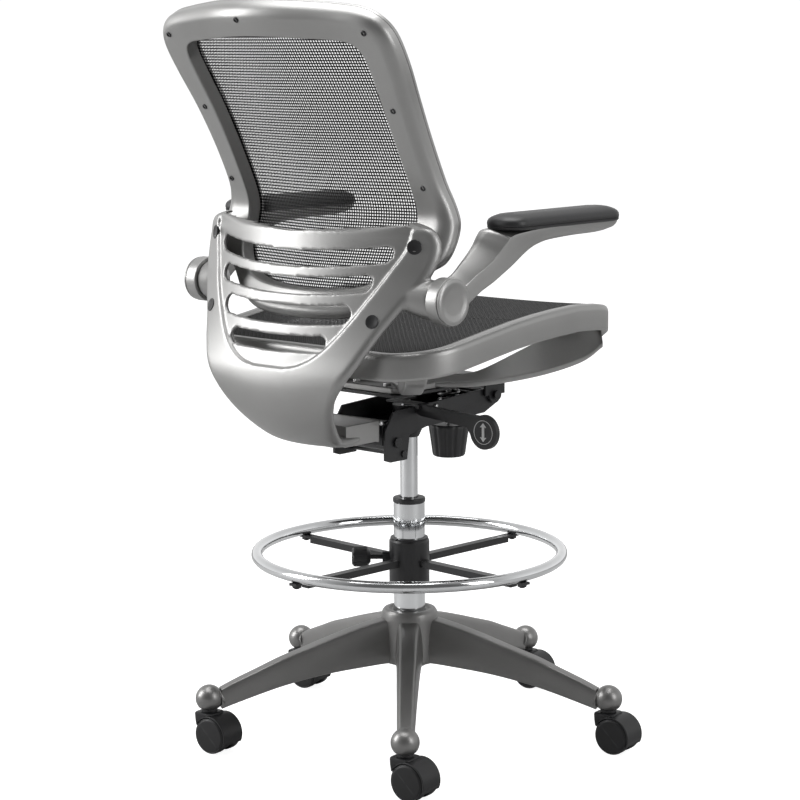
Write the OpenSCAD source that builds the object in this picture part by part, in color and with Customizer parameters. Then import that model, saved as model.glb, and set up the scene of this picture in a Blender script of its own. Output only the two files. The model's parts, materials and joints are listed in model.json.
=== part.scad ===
// Drafting chair: five-legged caster base, gas lift, foot ring, synchro-tilt mechanism,
// mesh seat, mesh back on a ribbed support, and two flip-up arms.
// Frame: +Z up, origin on the floor under the column, front of the chair towards -Y.

/* [Base] */
// Distance from the column to each caster stem
leg_reach = 330; // [300:5:350]
// Diameter of the base hub
hub_d = 91; // [85:1:100]
// Diameter of the ball at the end of each leg
ball_d = 43; // [40:1:46]
// Diameter of each caster wheel
wheel_d = 58; // [50:1:62]
// Direction in which the casters trail, in degrees
caster_heading = 186; // [0:1:359]

/* [Column] */
// Outer diameter of the fixed column tube
column_d = 50; // [48:1:52]
// Outer diameter of the gas cylinder
cylinder_d = 28; // [27:0.5:29]

/* [Foot ring] */
// Radius of the foot ring's centreline
ring_r = 243.5; // [225:0.5:255]
// Diameter of the foot ring's tube
ring_tube_d = 18; // [16:1:20]
// Height of the foot ring's centreline
ring_z = 296; // [286:1:306]

/* [Seat] */
// Half the width of the seat rim
seat_half_w = 250; // [240:1:252]
// Width of the rim seen from above
rim_w = 24; // [20:1:28]

/* [Back] */
// Half the width of the back frame
back_half_w = 234; // [228:1:236]
// Depth of the back frame's shell
shell_t = 22; // [18:1:24]
// Wall thickness of the back support
yoke_t = 14; // [10:1:15]

/* [Arms] */
// Length of the arm pad
pad_len = 268; // [240:1:275]
// Width of the arm pad
pad_w = 72; // [64:1:74]

/* [Hidden] */
CASTERS = [1, 2, 3, 4, 5];
$fn = 48;
silver = "darkgray";
fine = 0.05;          // running clearance of every turning or sliding fit
cell = 1.2;           // width of the bars that a hull cell is stretched between

// Base and casters
leg_angle_0 = 130.7;
hub_z0 = 118;
hub_z1 = 205;
ball_z = 83;
ball_flat_z = 68;
stem_r = 5.5;
stem_z0 = 34;
stem_z1 = 96;
caster_trail = 17;
wheel_w = 17;
wheel_gap = 13;
axle_r = 4;
hood_top_z = 62.5;

// Column
tube_z0 = 110;
tube_z1 = 378;
tube_wall = 2.5;
bush_z0 = 300;
bush_z1 = 386;
rod_r = 5;
piston_z = 352;
cyl_z0 = 226;
cyl_z1 = 538;
cyl_bore_r = 11.5;

// Foot ring
collar_r = 32.25;
collar_z0 = 243;
collar_z1 = 318;
bush_r = 29;
spoke_w = 15;
spoke_h = 11;
tab_t = 4;
spoke_angle_0 = -3;
knob_angle = 42;
knob_z = 288;

// Mechanism
pan_half_w = 56;
pan_wall = 4;
recline_y = 90;
recline_z = 492;
seat_axle_y = -140;
seat_axle_z = 540;
axle_pin_r = 5;
knob_y = -97;
bolt_r = 5;
lever_pivot_x = -62;
lever_z = 544.5;
plate_z = 564;
plate_t = 4;
bowl_z = 620;
bar_half_w = 50;
bar_z0 = 497;
bar_z1 = 530;

// Arms
arm_y = 197;
arm_z = 734;
arm_x0 = 240;
arm_hub_t = 22.5;
arm_hub_r = 35;
arm_pin_r = 9;
pad_x0 = 240;
pad_z0 = 834;
pad_z1 = 857;
pad_rear_y = 114;

// ---------- shared helpers ----------

// Rear face of the back frame: height -> distance behind the column at x = 200
function side_y(z) = lookup(z, [[688, 243], [706, 238], [740, 222], [776, 203], [810, 186],
    [840, 172], [862, 172.5], [894, 188], [950, 216], [1006, 246], [1060, 278], [1115, 312],
    [1147, 334]]);
function back_bulge(z) = lookup(z, [[688, 20], [840, 30], [1147, 40]]);
function back_y(x, z) = side_y(z) + back_bulge(z) * 0.5 * (1 + cos(0.9 * min(abs(x), 200)));

// How far the back frame leans, in degrees, and the point at depth d in from its rear face
function lean(z) = lookup(z, [[850, 0], [930, 28]]);
function back_at(x, z, d) = [x, back_y(x, z) - d * cos(lean(z)), z + d * sin(lean(z))];

// Top of the seat rim: distance behind the column -> height
function rim_top(y) = lookup(y, [[-240, 668], [-228, 682], [-205, 692], [-176, 697], [-143, 700],
    [-68, 698], [28, 689], [121, 675], [188, 665], [253, 656]]);

function mix(a, b, t) = a + (b - a) * t;

// Both halves of an outline that starts and ends on the middle plane
function both_halves(half) = concat(half,
    [for (i = [len(half) - 2:-1:1]) [-half[i][0], half[i][1]]]);

// Closed ring through a loop of cross-sections, each a list of points in the same order
module ring_sweep(sections) {
    n = len(sections);
    m = len(sections[0]);
    polyhedron([for (s = sections) for (p = s) p], [for (i = [0:n - 1]) for (j = [0:m - 1])
        let (a = i * m + j, b = i * m + (j + 1) % m,
             c = ((i + 1) % n) * m + (j + 1) % m, d = ((i + 1) % n) * m + j)
        for (t = [[a, b, c], [a, c, d]]) t]);
}

// Closed sheet over a grid: top(i, j) gives a point, and the other face is offset by d
module sheet(pts, d) {
    rows = len(pts);
    cols = len(pts[0]);
    n = rows * cols;
    flat = [for (r = pts) for (p = r) p];
    under = [for (p = flat) p + d];
    cells = [for (i = [0:rows - 2]) for (j = [0:cols - 2])
        [i * cols + j, i * cols + j + 1, (i + 1) * cols + j + 1, (i + 1) * cols + j]];
    rim = concat([for (j = [0:cols - 1]) j],
        [for (i = [1:rows - 1]) i * cols + cols - 1],
        [for (j = [cols - 2:-1:0]) (rows - 1) * cols + j],
        [for (i = [rows - 2:-1:1]) i * cols]);
    m = len(rim);
    top = [for (c = cells) for (t = [[c[0], c[2], c[1]], [c[0], c[3], c[2]]]) t];
    bottom = [for (t = top) [t[0] + n, t[2] + n, t[1] + n]];
    wall = [for (k = [0:m - 1]) let (a = rim[k], b = rim[(k + 1) % m])
        for (t = [[a, b, b + n], [a, b + n, a + n]]) t];
    polyhedron(concat(flat, under), concat(top, bottom, wall));
}

// ---------- base ----------

module leg() {
    side = [[20, 121], [20, 196], [46, 189], [128, 167], [213, 138], [278, 112], [leg_reach, 92],
        [leg_reach, 66], [303, 70], [264, 84], [204, 99], [128, 112], [46, 120]];
    plan = [[20, 19], [60, 20], [250, 14], [leg_reach, 13], [leg_reach, -13], [250, -14],
        [60, -20], [20, -19]];
    intersection() {
        rotate([90, 0, 0]) linear_extrude(height = 60, center = true) polygon(side);
        linear_extrude(height = 260) polygon(plan);
    }
}

module star_base() color("dimgray") {
    difference() {
        union() {
            translate([0, 0, hub_z0]) cylinder(d = hub_d, h = hub_z1 - hub_z0 - 6, $fn = 64);
            translate([0, 0, hub_z1 - 6]) cylinder(d1 = hub_d, d2 = hub_d - 10, h = 6, $fn = 64);
            for (i = [0:4]) rotate([0, 0, leg_angle_0 + 72 * i]) {
                leg();
                translate([leg_reach, 0, ball_z]) sphere(d = ball_d);
            }
        }
        translate([0, 0, hub_z0 - 20]) cylinder(d = column_d, h = hub_z1 - hub_z0 + 40, $fn = 64);
        for (i = [0:4]) rotate([0, 0, leg_angle_0 + 72 * i]) translate([leg_reach, 0, 0]) {
            translate([0, 0, ball_flat_z - 1]) cylinder(r = stem_r, h = stem_z1 - ball_flat_z + 1);
            translate([0, 0, 50]) cylinder(r = 25, h = ball_flat_z - 50);
        }
    }
}

module at_caster(i) {
    a = leg_angle_0 + 72 * (i - 1);
    translate([leg_reach * cos(a), leg_reach * sin(a), 0]) rotate([0, 0, caster_heading]) children();
}

module caster_stems() color("silver") for (i = CASTERS) at_caster(i) {
    translate([0, 0, stem_z0]) cylinder(r = stem_r, h = stem_z1 - stem_z0);
    translate([0, 0, hood_top_z + 0.5]) cylinder(r = 6.4, h = ball_flat_z - hood_top_z - 0.5);
}

// Hood: web between the wheels, swivel boss, and a guard over the wheels
module caster_hood(i) color("black") at_caster(i) {
    width = wheel_gap + 2 * wheel_w;
    difference() {
        union() {
            translate([caster_trail, 0, wheel_d / 2]) rotate([90, 0, 0])
                cylinder(r = wheel_d / 2 - 3, h = wheel_gap - 2, center = true);
            translate([0, 0, 18]) cylinder(r = 9, h = hood_top_z - 18);
            translate([caster_trail, 0, wheel_d / 2]) rotate([90, 0, 0]) difference() {
                cylinder(r = wheel_d / 2 + 4, h = width - 3, center = true);
                cylinder(r = wheel_d / 2 + 1.5, h = width + 1, center = true);
                rotate([0, 0, -25]) translate([-60, -60, -40]) cube([120, 60, 80]);
                rotate([0, 0, 140]) translate([-60, 0, -40]) cube([120, 60, 80]);
            }
            translate([caster_trail - 25, -(wheel_gap - 2) / 2, 34]) cube([34, wheel_gap - 2, 26]);
            translate([-19, -18, 36]) cube([36, 36, hood_top_z - 36]);
        }
        translate([0, 0, stem_z0 - 1]) cylinder(r = stem_r + fine, h = 60);
        translate([caster_trail, 0, wheel_d / 2]) rotate([90, 0, 0]) {
            cylinder(r = axle_r, h = 80, center = true);
            for (s = [-1, 1]) translate([0, 0, s * (wheel_gap / 2 + 15 - 0.5)])
                cylinder(r = wheel_d / 2 + 1, h = 30, center = true);
        }
    }
}

module caster_axle(i) color("silver") at_caster(i)
    translate([caster_trail, 0, wheel_d / 2]) rotate([90, 0, 0])
        cylinder(r = axle_r, h = wheel_gap + 2 * wheel_w - 8, center = true);

// Wheel: rounded tyre with a closed, dished outer face and a blind bore for the axle
module caster_wheel(i, side) color("black") at_caster(i)
    translate([caster_trail, side * wheel_gap / 2, wheel_d / 2]) rotate([-side * 90, 0, 0])
        difference() {
            rotate_extrude($fn = 64) polygon([[0, 0], [wheel_d / 2 - 1.5, 0], [wheel_d / 2, 2],
                [wheel_d / 2, wheel_w - 4], [wheel_d / 2 - 4, wheel_w], [wheel_d / 2 - 9, wheel_w],
                [wheel_d / 2 - 10, wheel_w - 1.2], [0, wheel_w - 0.6]]);
            translate([0, 0, -1]) cylinder(r = axle_r + fine, h = wheel_w - 2.5);
        }

// ---------- column and lift ----------

module column_tube() color("gainsboro") difference() {
    translate([0, 0, tube_z0]) cylinder(d = column_d, h = tube_z1 - tube_z0, $fn = 64);
    translate([0, 0, tube_z0 + 4]) cylinder(d = column_d - 2 * tube_wall, h = 400, $fn = 64);
    translate([0, 0, tube_z0 - 1]) cylinder(r = rod_r + fine, h = 10);
}

module column_bush() color("black") difference() {
    union() {
        translate([0, 0, bush_z0]) cylinder(d = column_d - 2 * tube_wall, h = tube_z1 - bush_z0);
        translate([0, 0, tube_z1]) cylinder(d = column_d + 2, h = bush_z1 - tube_z1 - 2);
        translate([0, 0, bush_z1 - 2]) cylinder(d1 = column_d + 2, d2 = column_d - 2, h = 2);
    }
    translate([0, 0, bush_z0 - 1]) cylinder(d = cylinder_d + 2 * fine, h = 100);
}

module thrust_bearing() color("silver") difference() {
    translate([0, 0, tube_z0 + 4]) cylinder(r = 12, h = 7);
    translate([0, 0, tube_z0 + 3]) cylinder(r = rod_r + fine, h = 9);
}

// Rod of the gas spring: retaining clip, shoulder on the bearing, piston inside the cylinder
module piston_rod() color("gainsboro") {
    translate([0, 0, tube_z0 - 8]) cylinder(r = rod_r, h = piston_z - tube_z0 + 10);
    translate([0, 0, tube_z0 - 3]) cylinder(r = 10, h = 2);
    translate([0, 0, tube_z0 + 11 + fine]) cylinder(r = 8, h = 4);
    translate([0, 0, piston_z]) cylinder(r = cyl_bore_r - fine, h = 12);
}

module gas_cylinder() color("gainsboro") difference() {
    translate([0, 0, cyl_z0]) cylinder(d = cylinder_d, h = cyl_z1 - cyl_z0);
    translate([0, 0, cyl_z0 - 1]) cylinder(r = cyl_bore_r, h = cyl_z1 - cyl_z0 - 17);
    translate([0, 0, cyl_z0]) cylinder(r = 3 + fine, h = 400);
}

module cylinder_gland() color("black") difference() {
    translate([0, 0, cyl_z0]) cylinder(r = cyl_bore_r, h = 15);
    translate([0, 0, cyl_z0 - 1]) cylinder(r = rod_r + fine, h = 20);
}

module release_pin() color("silver") translate([0, 0, 500]) cylinder(r = 3, h = lever_z - 0.3 - 500);

// ---------- foot ring ----------

module ring_bush() color("dimgray") difference() {
    union() {
        translate([0, 0, collar_z0]) cylinder(r = bush_r, h = collar_z1 - collar_z0);
        translate([0, 0, collar_z1 + 0.3]) cylinder(r = collar_r - 2, h = 2.5);
        translate([0, 0, collar_z1 - 1]) cylinder(r = bush_r, h = 2);
    }
    translate([0, 0, collar_z0 - 1]) cylinder(d = column_d + 2 * fine, h = 90, $fn = 64);
    translate([-1.5, 0, collar_z0 - 1]) cube([3, 40, 90]);
}

module ring_hub() color("black") difference() {
    union() {
        translate([0, 0, collar_z0 + 3]) cylinder(r = collar_r, h = collar_z1 - collar_z0 - 6);
        for (end = [[collar_z0, 2, 0], [collar_z1 - 3, 0, 2]]) translate([0, 0, end[0]])
            cylinder(r1 = collar_r - end[1], r2 = collar_r - end[2], h = 3);
        for (i = [0:3]) rotate([0, 0, spoke_angle_0 + 90 * i]) {
            translate([bush_r + 1, -spoke_w / 2, ring_z - ring_tube_d / 2 - spoke_h])
                cube([ring_r - 18 - bush_r, spoke_w, spoke_h]);
            translate([ring_r - 20, -spoke_w / 2, ring_z - ring_tube_d / 2 - tab_t])
                cube([29, spoke_w, tab_t]);
        }
        rotate([0, 0, knob_angle]) translate([bush_r + 1, 0, knob_z]) rotate([0, 90, 0])
            cylinder(r = 9, h = 13);
    }
    translate([0, 0, collar_z0 - 1]) cylinder(r = bush_r + fine, h = 90);
    rotate([0, 0, knob_angle]) translate([0, 0, knob_z]) rotate([0, 90, 0])
        cylinder(r = 4 + fine, h = 60);
    for (i = [0:3]) rotate([0, 0, spoke_angle_0 + 90 * i]) translate([ring_r, 0, 0])
        cylinder(r = 3, h = 400);
}

module ring_tube() color("gainsboro") translate([0, 0, ring_z])
    rotate_extrude($fn = 96) translate([ring_r, 0]) circle(d = ring_tube_d, $fn = 32);

// Cap nuts under the spokes, each on a stud welded to the ring
module ring_nuts() color("black") for (i = [0:3]) rotate([0, 0, spoke_angle_0 + 90 * i])
    translate([ring_r, 0, ring_z - ring_tube_d / 2 - tab_t]) {
        translate([0, 0, -3.5]) cylinder(r = 7.5, h = 3.5, $fn = 6);
        translate([0, 0, -5.5]) cylinder(r1 = 3.5, r2 = 6, h = 2);
        cylinder(r = 3, h = tab_t);
    }

module clamp_knob() color("black") rotate([0, 0, knob_angle]) translate([0, 0, knob_z])
    rotate([0, 90, 0]) difference() {
        union() {
            translate([0, 0, bush_r + 0.4]) cylinder(r = 4, h = 40);
            translate([0, 0, 62]) cylinder(r1 = 9, r2 = 16, h = 6);
            translate([0, 0, 68]) cylinder(r = 16, h = 20);
            translate([0, 0, 88]) cylinder(r1 = 16, r2 = 12, h = 4);
        }
        for (i = [0:5]) rotate([0, 0, 60 * i]) translate([19, 0, 60]) cylinder(r = 5, h = 40);
    }

// ---------- mechanism ----------

module pan_side() {
    polygon([[-162, 538], [-156, 550], [-140, 552], [96, 540], [116, 512], [116, 466], [104, 462],
        [66, 462], [60, 500], [20, 508], [-40, 510], [-120, 512.5], [-152, 526]]);
}

module across(w) rotate([90, 0, 90]) linear_extrude(height = w, center = true) children();

module mechanism_housing() color("black") difference() {
    union() {
        difference() {
            across(2 * pan_half_w) pan_side();
            across(2 * (pan_half_w - pan_wall)) polygon([[-156, 600], [-153, 540], [-148, 530],
                [-120, 517.5], [-40, 515], [44, 512], [44, 400], [200, 400], [200, 600]]);
        }
        translate([0, 0, 484]) cylinder(r1 = 16, r2 = 26, h = 22);
        translate([0, 0, 506]) cylinder(r = 26, h = 30);
    }
    translate([0, 0, 470]) cylinder(d = cylinder_d, h = 100);
    translate([0, knob_y, 480]) cylinder(r = bolt_r + fine, h = 100);
    for (p = [[recline_y, recline_z], [seat_axle_y, seat_axle_z]]) translate([0, p[0], p[1]])
        rotate([0, 90, 0]) cylinder(r = axle_pin_r, h = 200, center = true);
    translate([0, 75, 472]) rotate([0, 90, 0]) cylinder(r = 5 + fine, h = 200, center = true);
}

module mechanism_axles() color("silver")
    for (p = [[recline_y, recline_z, 58], [seat_axle_y, seat_axle_z, 66]])
        translate([0, p[0], p[1]]) rotate([0, 90, 0]) {
            cylinder(r = axle_pin_r, h = 2 * p[2], center = true);
            for (s = [-1, 1]) translate([0, 0, s * (p[2] + 1)]) cylinder(r = 8, h = 3, center = true);
        }

// Coil spring under the tension bolt's head, swept along its helix
module tilt_spring() color("silver") {
    turns = 3;
    sides = 8;
    steps = 20;
    coil_r = 16;
    wire_r = 2.6;
    rise = 26 / turns;
    n = turns * steps;
    pts = [for (k = [0:n]) let (a = 360 * k / steps, z = 519 + wire_r + rise * k / steps)
        for (j = [0:sides - 1]) let (b = 360 * j / sides, r = coil_r + wire_r * cos(b))
            [r * cos(a), knob_y + r * sin(a), z + wire_r * sin(b)]];
    skin = [for (k = [0:n - 1]) for (j = [0:sides - 1])
        let (p = k * sides + j, q = k * sides + (j + 1) % sides)
        for (t = [[p, q + sides, q], [p, p + sides, q + sides]]) t];
    first = [for (j = [1:sides - 2]) [0, j, j + 1]];
    last = [for (j = [1:sides - 2]) [n * sides, n * sides + j + 1, n * sides + j]];
    polyhedron(pts, concat(skin, first, last));
}

module tension_knob() color("black") translate([0, knob_y, 439]) difference() {
    union() {
        cylinder(r1 = 25, r2 = 27, h = 3);
        translate([0, 0, 3]) cylinder(r1 = 27, r2 = 33.5, h = 47);
        translate([0, 0, 50]) cylinder(r1 = 33.5, r2 = 30, h = 3);
    }
    for (i = [0:11]) rotate([0, 0, 30 * i]) translate([31.5, 0, -1]) rotate([0, 7.5, 0])
        cylinder(r = 3, h = 60);
    translate([0, 0, 20]) cylinder(r = bolt_r, h = 40);
}

module tension_bolt() color("silver") translate([0, knob_y, 0]) {
    translate([0, 0, 459]) cylinder(r = bolt_r, h = 94);
    translate([0, 0, 550]) cylinder(r = 11, h = 4, $fn = 6);
}

// Height lever: tongue over the release pin, arm, and a round paddle
module height_lever() color("black") {
    translate([-60, 28, lever_z]) cube([66, 18, 3]);
    translate([-10, -8, lever_z]) cube([18, 40, 3]);
    rotate([90, 0, 0]) translate([0, 0, -46]) linear_extrude(height = 7) polygon([[-57.5, 546],
        [-57.5, 532], [-66, 529], [-160, 521], [-175, 500], [-205, 500], [-205, 536], [-185, 541],
        [-66, 546.5]]);
    translate([-193, 46, 517]) rotate([90, 0, 0]) cylinder(r = 26.5, h = 8);
    translate([lever_pivot_x, 50, 543]) rotate([90, 0, 0]) cylinder(r = 4, h = 26);
}

module tilt_lock_lever() color("silver") translate([0, 75, 472]) rotate([0, 90, 0]) {
    translate([0, 0, -59]) cylinder(r = 5, h = 120);
    translate([0, 0, 59]) cylinder(r = 8, h = 12);
    translate([-3, -12, 71]) cube([6, 34, 34]);
}

// Bracket that turns on the recline axle and plugs into the yoke's bar
module back_bracket() color("black") difference() {
    union() {
        translate([0, recline_y, recline_z]) rotate([0, 90, 0]) cylinder(r = 15, h = 96, center = true);
        translate([-38, recline_y, bar_z0 + 6]) cube([76, 105, bar_z1 - bar_z0 - 12]);
        translate([-48, recline_y - 2, recline_z - 4]) cube([96, 26, 34]);
    }
    translate([0, recline_y, recline_z]) rotate([0, 90, 0])
        cylinder(r = axle_pin_r + fine, h = 120, center = true);
}

// ---------- back support ----------

// Rear face down its middle: [y, z, half width, how far the edge sweeps forward, how far it rises]
spine = [[268, 829, 226, 66, 12], [272, 806, 237, 72, 6], [279, 775, 231, 66, 0],
    [288, 740, 212, 52, 0], [299, 695, 184, 36, 0], [308, 655, 163, 22, 0],
    [316, 620, 143, 12, 0], [316, 588, 121, 14, 0], [304, 556, 102, 18, 0],
    [280, 526, 84, 22, 0], [245, 505, 69, 20, 0], [200, 497, 54, 8, 0], [160, 497, 50, 0, 0]];
// Half width of the ribbed panel inside the frame, at the same heights
panel_half = [200, 197, 178, 158, 130, 98, 0];

function spine_at(z) = let (hit = [for (i = [0:5]) if (z <= spine[i][1] && z >= spine[i + 1][1]) i],
    i = len(hit) ? hit[0] : 0, t = (spine[i][1] - z) / (spine[i][1] - spine[i + 1][1]))
    mix(spine[i], spine[i + 1], t);
function panel_at(z) = lookup(z, [for (i = [0:6]) [spine[i][1], panel_half[i]]]);
function yoke_p(s, x) = let (u = x / s[2]) [x, s[0] - s[3] * u * u, s[1] + s[4] * u * u];

// Forward and upward direction through the wall at each station of the spine
function wall_dir(i) = let (a = spine[max(i - 1, 0)], b = spine[min(i + 1, len(spine) - 1)],
    d = [b[0] - a[0], b[1] - a[1]], n = norm(d)) [0, d[1] / n, -d[0] / n];

module yoke_cell(i, a0, a1, b0, b1) hull() {
    for (c = [[i, a0], [i, a1], [i + 1, b0], [i + 1, b1]]) {
        p = yoke_p(spine[c[0]], c[1]);
        for (q = [p, p + yoke_t * wall_dir(c[0])]) translate(q) cube(cell, center = true);
    }
}

module rib(z_low, z_high) {
    smile = 15;
    reach = panel_at((z_low + z_high) / 2 + smile) + 12;
    steps = 8;
    for (k = [0:steps - 1]) hull() for (j = [k, k + 1]) for (z = [z_low, z_high]) {
        x = mix(-reach, reach, j / steps);
        s = spine_at(z);
        p = yoke_p([s[0] - 5, z, s[2], s[3], smile * pow(s[2] / 200, 2)], x);
        translate(p - [cell / 2, 8, cell / 2]) cube([cell, 8, cell]);
    }
}

// The walls between two stations of the spine
module yoke_walls(first, last) for (i = [first:last], side = [-1, 1]) {
    a0 = i < 7 ? panel_half[i] : 0;
    b0 = i < 6 ? panel_half[i + 1] : 0;
    a1 = spine[i][2];
    b1 = spine[i + 1][2];
    yoke_cell(i, side * a0, side * mix(a0, a1, 0.5), side * b0, side * mix(b0, b1, 0.5));
    yoke_cell(i, side * mix(a0, a1, 0.5), side * a1, side * mix(b0, b1, 0.5), side * b1);
}

// Upper part: two horns, the ribs between them, and a stub for each arm
module yoke() color(silver) difference() {
    union() {
        yoke_walls(0, 5);
        for (r = [[800, 829], [761, 777], [720, 737], [676, 693], [620, 653]]) rib(r[0], r[1]);
        for (s = [-1, 1]) hull() {
            translate([s * 236, arm_y, arm_z]) rotate([0, 90, 0]) cylinder(r = 31, h = 6, center = true);
            translate([s * 190, 226, 742]) rotate([0, 90, 0]) cylinder(r = 24, h = 4, center = true);
        }
    }
    translate([-300, 0, bowl_z - 100]) cube([600, 400, 100]);
    for (s = [-1, 1]) {
        translate([s * 225, arm_y, arm_z]) rotate([0, 90, 0]) cylinder(r = arm_pin_r, h = 40, center = true);
        for (b = yoke_bolt_points) translate([s * b[0], b[1] - 6, b[2]]) rotate([-90, 0, 0])
            cylinder(r = b[3], h = 20);
    }
}

// Lower part: bowl that narrows down to a bar with a socket for the bracket
module yoke_bowl() color(silver) difference() {
    union() {
        yoke_walls(6, len(spine) - 2);
        translate([-bar_half_w, 124, bar_z0]) cube([2 * bar_half_w, 110, bar_z1 - bar_z0]);
    }
    translate([-300, 0, bowl_z]) cube([600, 400, 100]);
    translate([-38.2, 100, bar_z0 + 5.8]) cube([76.4, 95.2, bar_z1 - bar_z0 - 11.6]);
}

// Plugs over the four yoke bolts: [x, y, z, plug radius, length forward to the back frame]
yoke_bolt_points = [[207.5, 214, 810, 11, 27], [168.5, 265, 706, 10, 15]];

module yoke_bolts() color("dimgray") {
    for (s = [-1, 1], b = yoke_bolt_points) translate([s * b[0], b[1], b[2]]) rotate([-90, 0, 0]) {
        translate([0, 0, -6]) cylinder(r = b[3], h = 6);
        translate([0, 0, -b[4]]) cylinder(r = 3, h = b[4] - 5);
    }
    for (s = [-1, 1]) translate([s * 22, 150, bar_z0 - 5]) {
        cylinder(r = 7, h = 5, $fn = 6);
        cylinder(r = 3.5, h = 12);
    }
}

module arm_pivot_pins() color("silver") for (s = [-1, 1])
    translate([s * (arm_x0 + arm_hub_t / 2 - 9), arm_y, arm_z]) rotate([0, 90, 0])
        cylinder(r = arm_pin_r, h = arm_hub_t + 18, center = true);

module arm_caps() color(silver) for (s = [-1, 1]) translate([s * (arm_x0 + arm_hub_t + 0.4), arm_y, arm_z])
    rotate([0, s * 90, 0]) {
        cylinder(r = arm_hub_r - 1, h = 3);
        translate([0, 0, 3]) cylinder(r1 = arm_hub_r - 1, r2 = arm_hub_r - 4, h = 2);
    }

// ---------- back frame ----------

// Outline of one half of the ring, from the middle of the top to the middle of the bottom
outer_x = back_half_w;
ring_out = [[0, 1151], [50, 1150.5], [100, 1148], [150, 1144], [190, 1138], [217, 1125],
    [outer_x - 2, 1102], [outer_x - 2, 1060], [224, 1006], [219, 950], [219, 894], [227, 862],
    [outer_x, 838], [outer_x, 805], [226, 785], [207, 773], [180, 757], [140, 722], [100, 703],
    [50, 697], [0, 696]];
ring_in = [[0, 1110.5], [50, 1109.5], [95, 1107], [130, 1105], [152, 1103], [170, 1097],
    [179, 1083], [180, 1060], [176, 1006], [174, 950], [174, 894], [174, 862],
    [174, 838], [173, 815], [170, 797], [163, 783], [149, 768], [122, 753], [90, 745],
    [48, 741], [0, 740]];

// Ring between the two outlines; each profile point is [share of the width inwards, depth]
module frame_ring(profile) {
    outer = both_halves(ring_out);
    inner = both_halves(ring_in);
    ring_sweep([for (i = [0:len(outer) - 1]) [for (q = profile) let (p = mix(outer[i], inner[i], q[0]))
        back_at(p[0], p[1], q[1])]]);
}

module back_shell() color(silver)
    frame_ring([[0, shell_t], [0, 16], [0.12, 7], [0.36, 0], [0.94, 0], [1, 3], [1, shell_t]]);

module back_trim() color(silver)
    frame_ring([[0.05, shell_t + 11], [0, shell_t + 6], [1, shell_t + 6], [0.96, shell_t + 11]]);

// Mesh clamped between the shell and the trim
mesh_rows = [722, 740, 757, 776, 793, 810, 825, 840, 862, 878, 894, 922, 950, 978, 1006, 1033,
    1060, 1090, 1122];

module back_mesh() color("black") {
    cols = 12;
    sheet([for (z = mesh_rows) [for (j = [0:cols])
        let (x = mix(-188, 188, j / cols) * (z < 780 ? 0.8 : 1)) back_at(x, z, shell_t + 2.4)]],
        [0, -1.8, 0]);
}

// Screws in the rear face of the frame: [x, z]
frame_screw_points = [[0, 1135], [200, 1115], [194.5, 1006], [199, 894]];

module frame_screws() color("black") for (p = frame_screw_points, s = p[0] == 0 ? [1] : [-1, 1])
    translate(back_at(s * p[0], p[1], 8)) rotate([-90 - lean(p[1]), 0, 0]) cylinder(r = 3.2, h = 8.6);

// ---------- seat ----------

corner_front = 75;
corner_rear = 95;
seat_front = -240;
seat_rear = 250;
corner_steps = 6;

// Rounded outline of the seat, inset by d, starting at the middle of the front
function arc_points(cx, cy, r, a0, a1) = [for (k = [0:corner_steps])
    let (a = mix(a0, a1, k / corner_steps)) [cx + r * cos(a), cy + r * sin(a)]];
function outline(d) = let (w = seat_half_w, f = corner_front, r = corner_rear) concat(
    [[0, seat_front + d], [90, seat_front + d]],
    arc_points(w - f, seat_front + f, f - d, -90, 0),
    [[w - d, -60], [w - d, 30], [w - d, 100]],
    arc_points(w - r, seat_rear - r, r - d, 0, 90),
    [[0, seat_rear - d]]);

module seat_rim() color(silver) {
    outer = both_halves(outline(0));
    inner = both_halves(outline(rim_w));
    profile = [[0, 41], [0, 4], [0.2, 0], [0.95, 0], [1, 2], [1, 31]];
    ring_sweep([for (i = [0:len(outer) - 1]) [for (q = profile) let (p = mix(outer[i], inner[i], q[0]))
        [p[0], p[1], rim_top(outer[i][1]) - q[1]]]]);
}

module seat_mesh() color("black") {
    cols = 12;
    rows = 12;
    sheet([for (i = [0:rows]) let (y = mix(seat_front + rim_w + 2, seat_rear - rim_w - 2, i / rows),
        corner = y < -165 ? (-165 - y) : max(0, y - 155), lim = y < -165 ? 50 : 70,
        half = seat_half_w - rim_w - 2 - lim * (1 - sqrt(max(0, 1 - pow(corner / (lim + 3), 2)))))
        [for (j = [0:cols]) let (u = mix(-1, 1, j / cols))
            [u * half, y, rim_top(y - 14 * (y < -190 ? 1 : 0)) - 4 - 8 * (1 - u * u)]]], [0, 0, -2.4]);
}

// Pressed plate that turns on the front axle, with lugs down both sides of the pan
module seat_plate() color("black") difference() {
    union() {
        translate([-72, -165, plate_z]) cube([144, 275, plate_t]);
        for (s = [-1, 1]) translate([s * 60, seat_axle_y, 0]) {
            translate([-2, -24, seat_axle_z]) cube([4, 48, plate_z - seat_axle_z + 1]);
            translate([0, 0, seat_axle_z]) rotate([0, 90, 0]) cylinder(r = 14, h = 4, center = true);
        }
    }
    translate([0, seat_axle_y, seat_axle_z]) rotate([0, 90, 0])
        cylinder(r = axle_pin_r + fine, h = 200, center = true);
}

// Cross frame: centre plate with four arms that sweep out to the corners of the rim
front_arm = [[60, -10, 577, 16], [105, -45, 580, 17], [160, -120, 594, 20], [205, -178, 618, 26],
    [226, -196, 642, 30]];
rear_arm = [[60, 70, 577, 16], [105, 112, 583, 17], [160, 172, 598, 20], [205, 212, 616, 22]];

module cross_arm(points, s) for (i = [0:len(points) - 2]) hull() for (p = [points[i], points[i + 1]])
    translate([s * p[0], p[1], p[2]]) rotate([0, 0, s * 45 * (p[1] < 0 ? -1 : 1)])
        cube([6, 41, p[3]], center = true);

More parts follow.
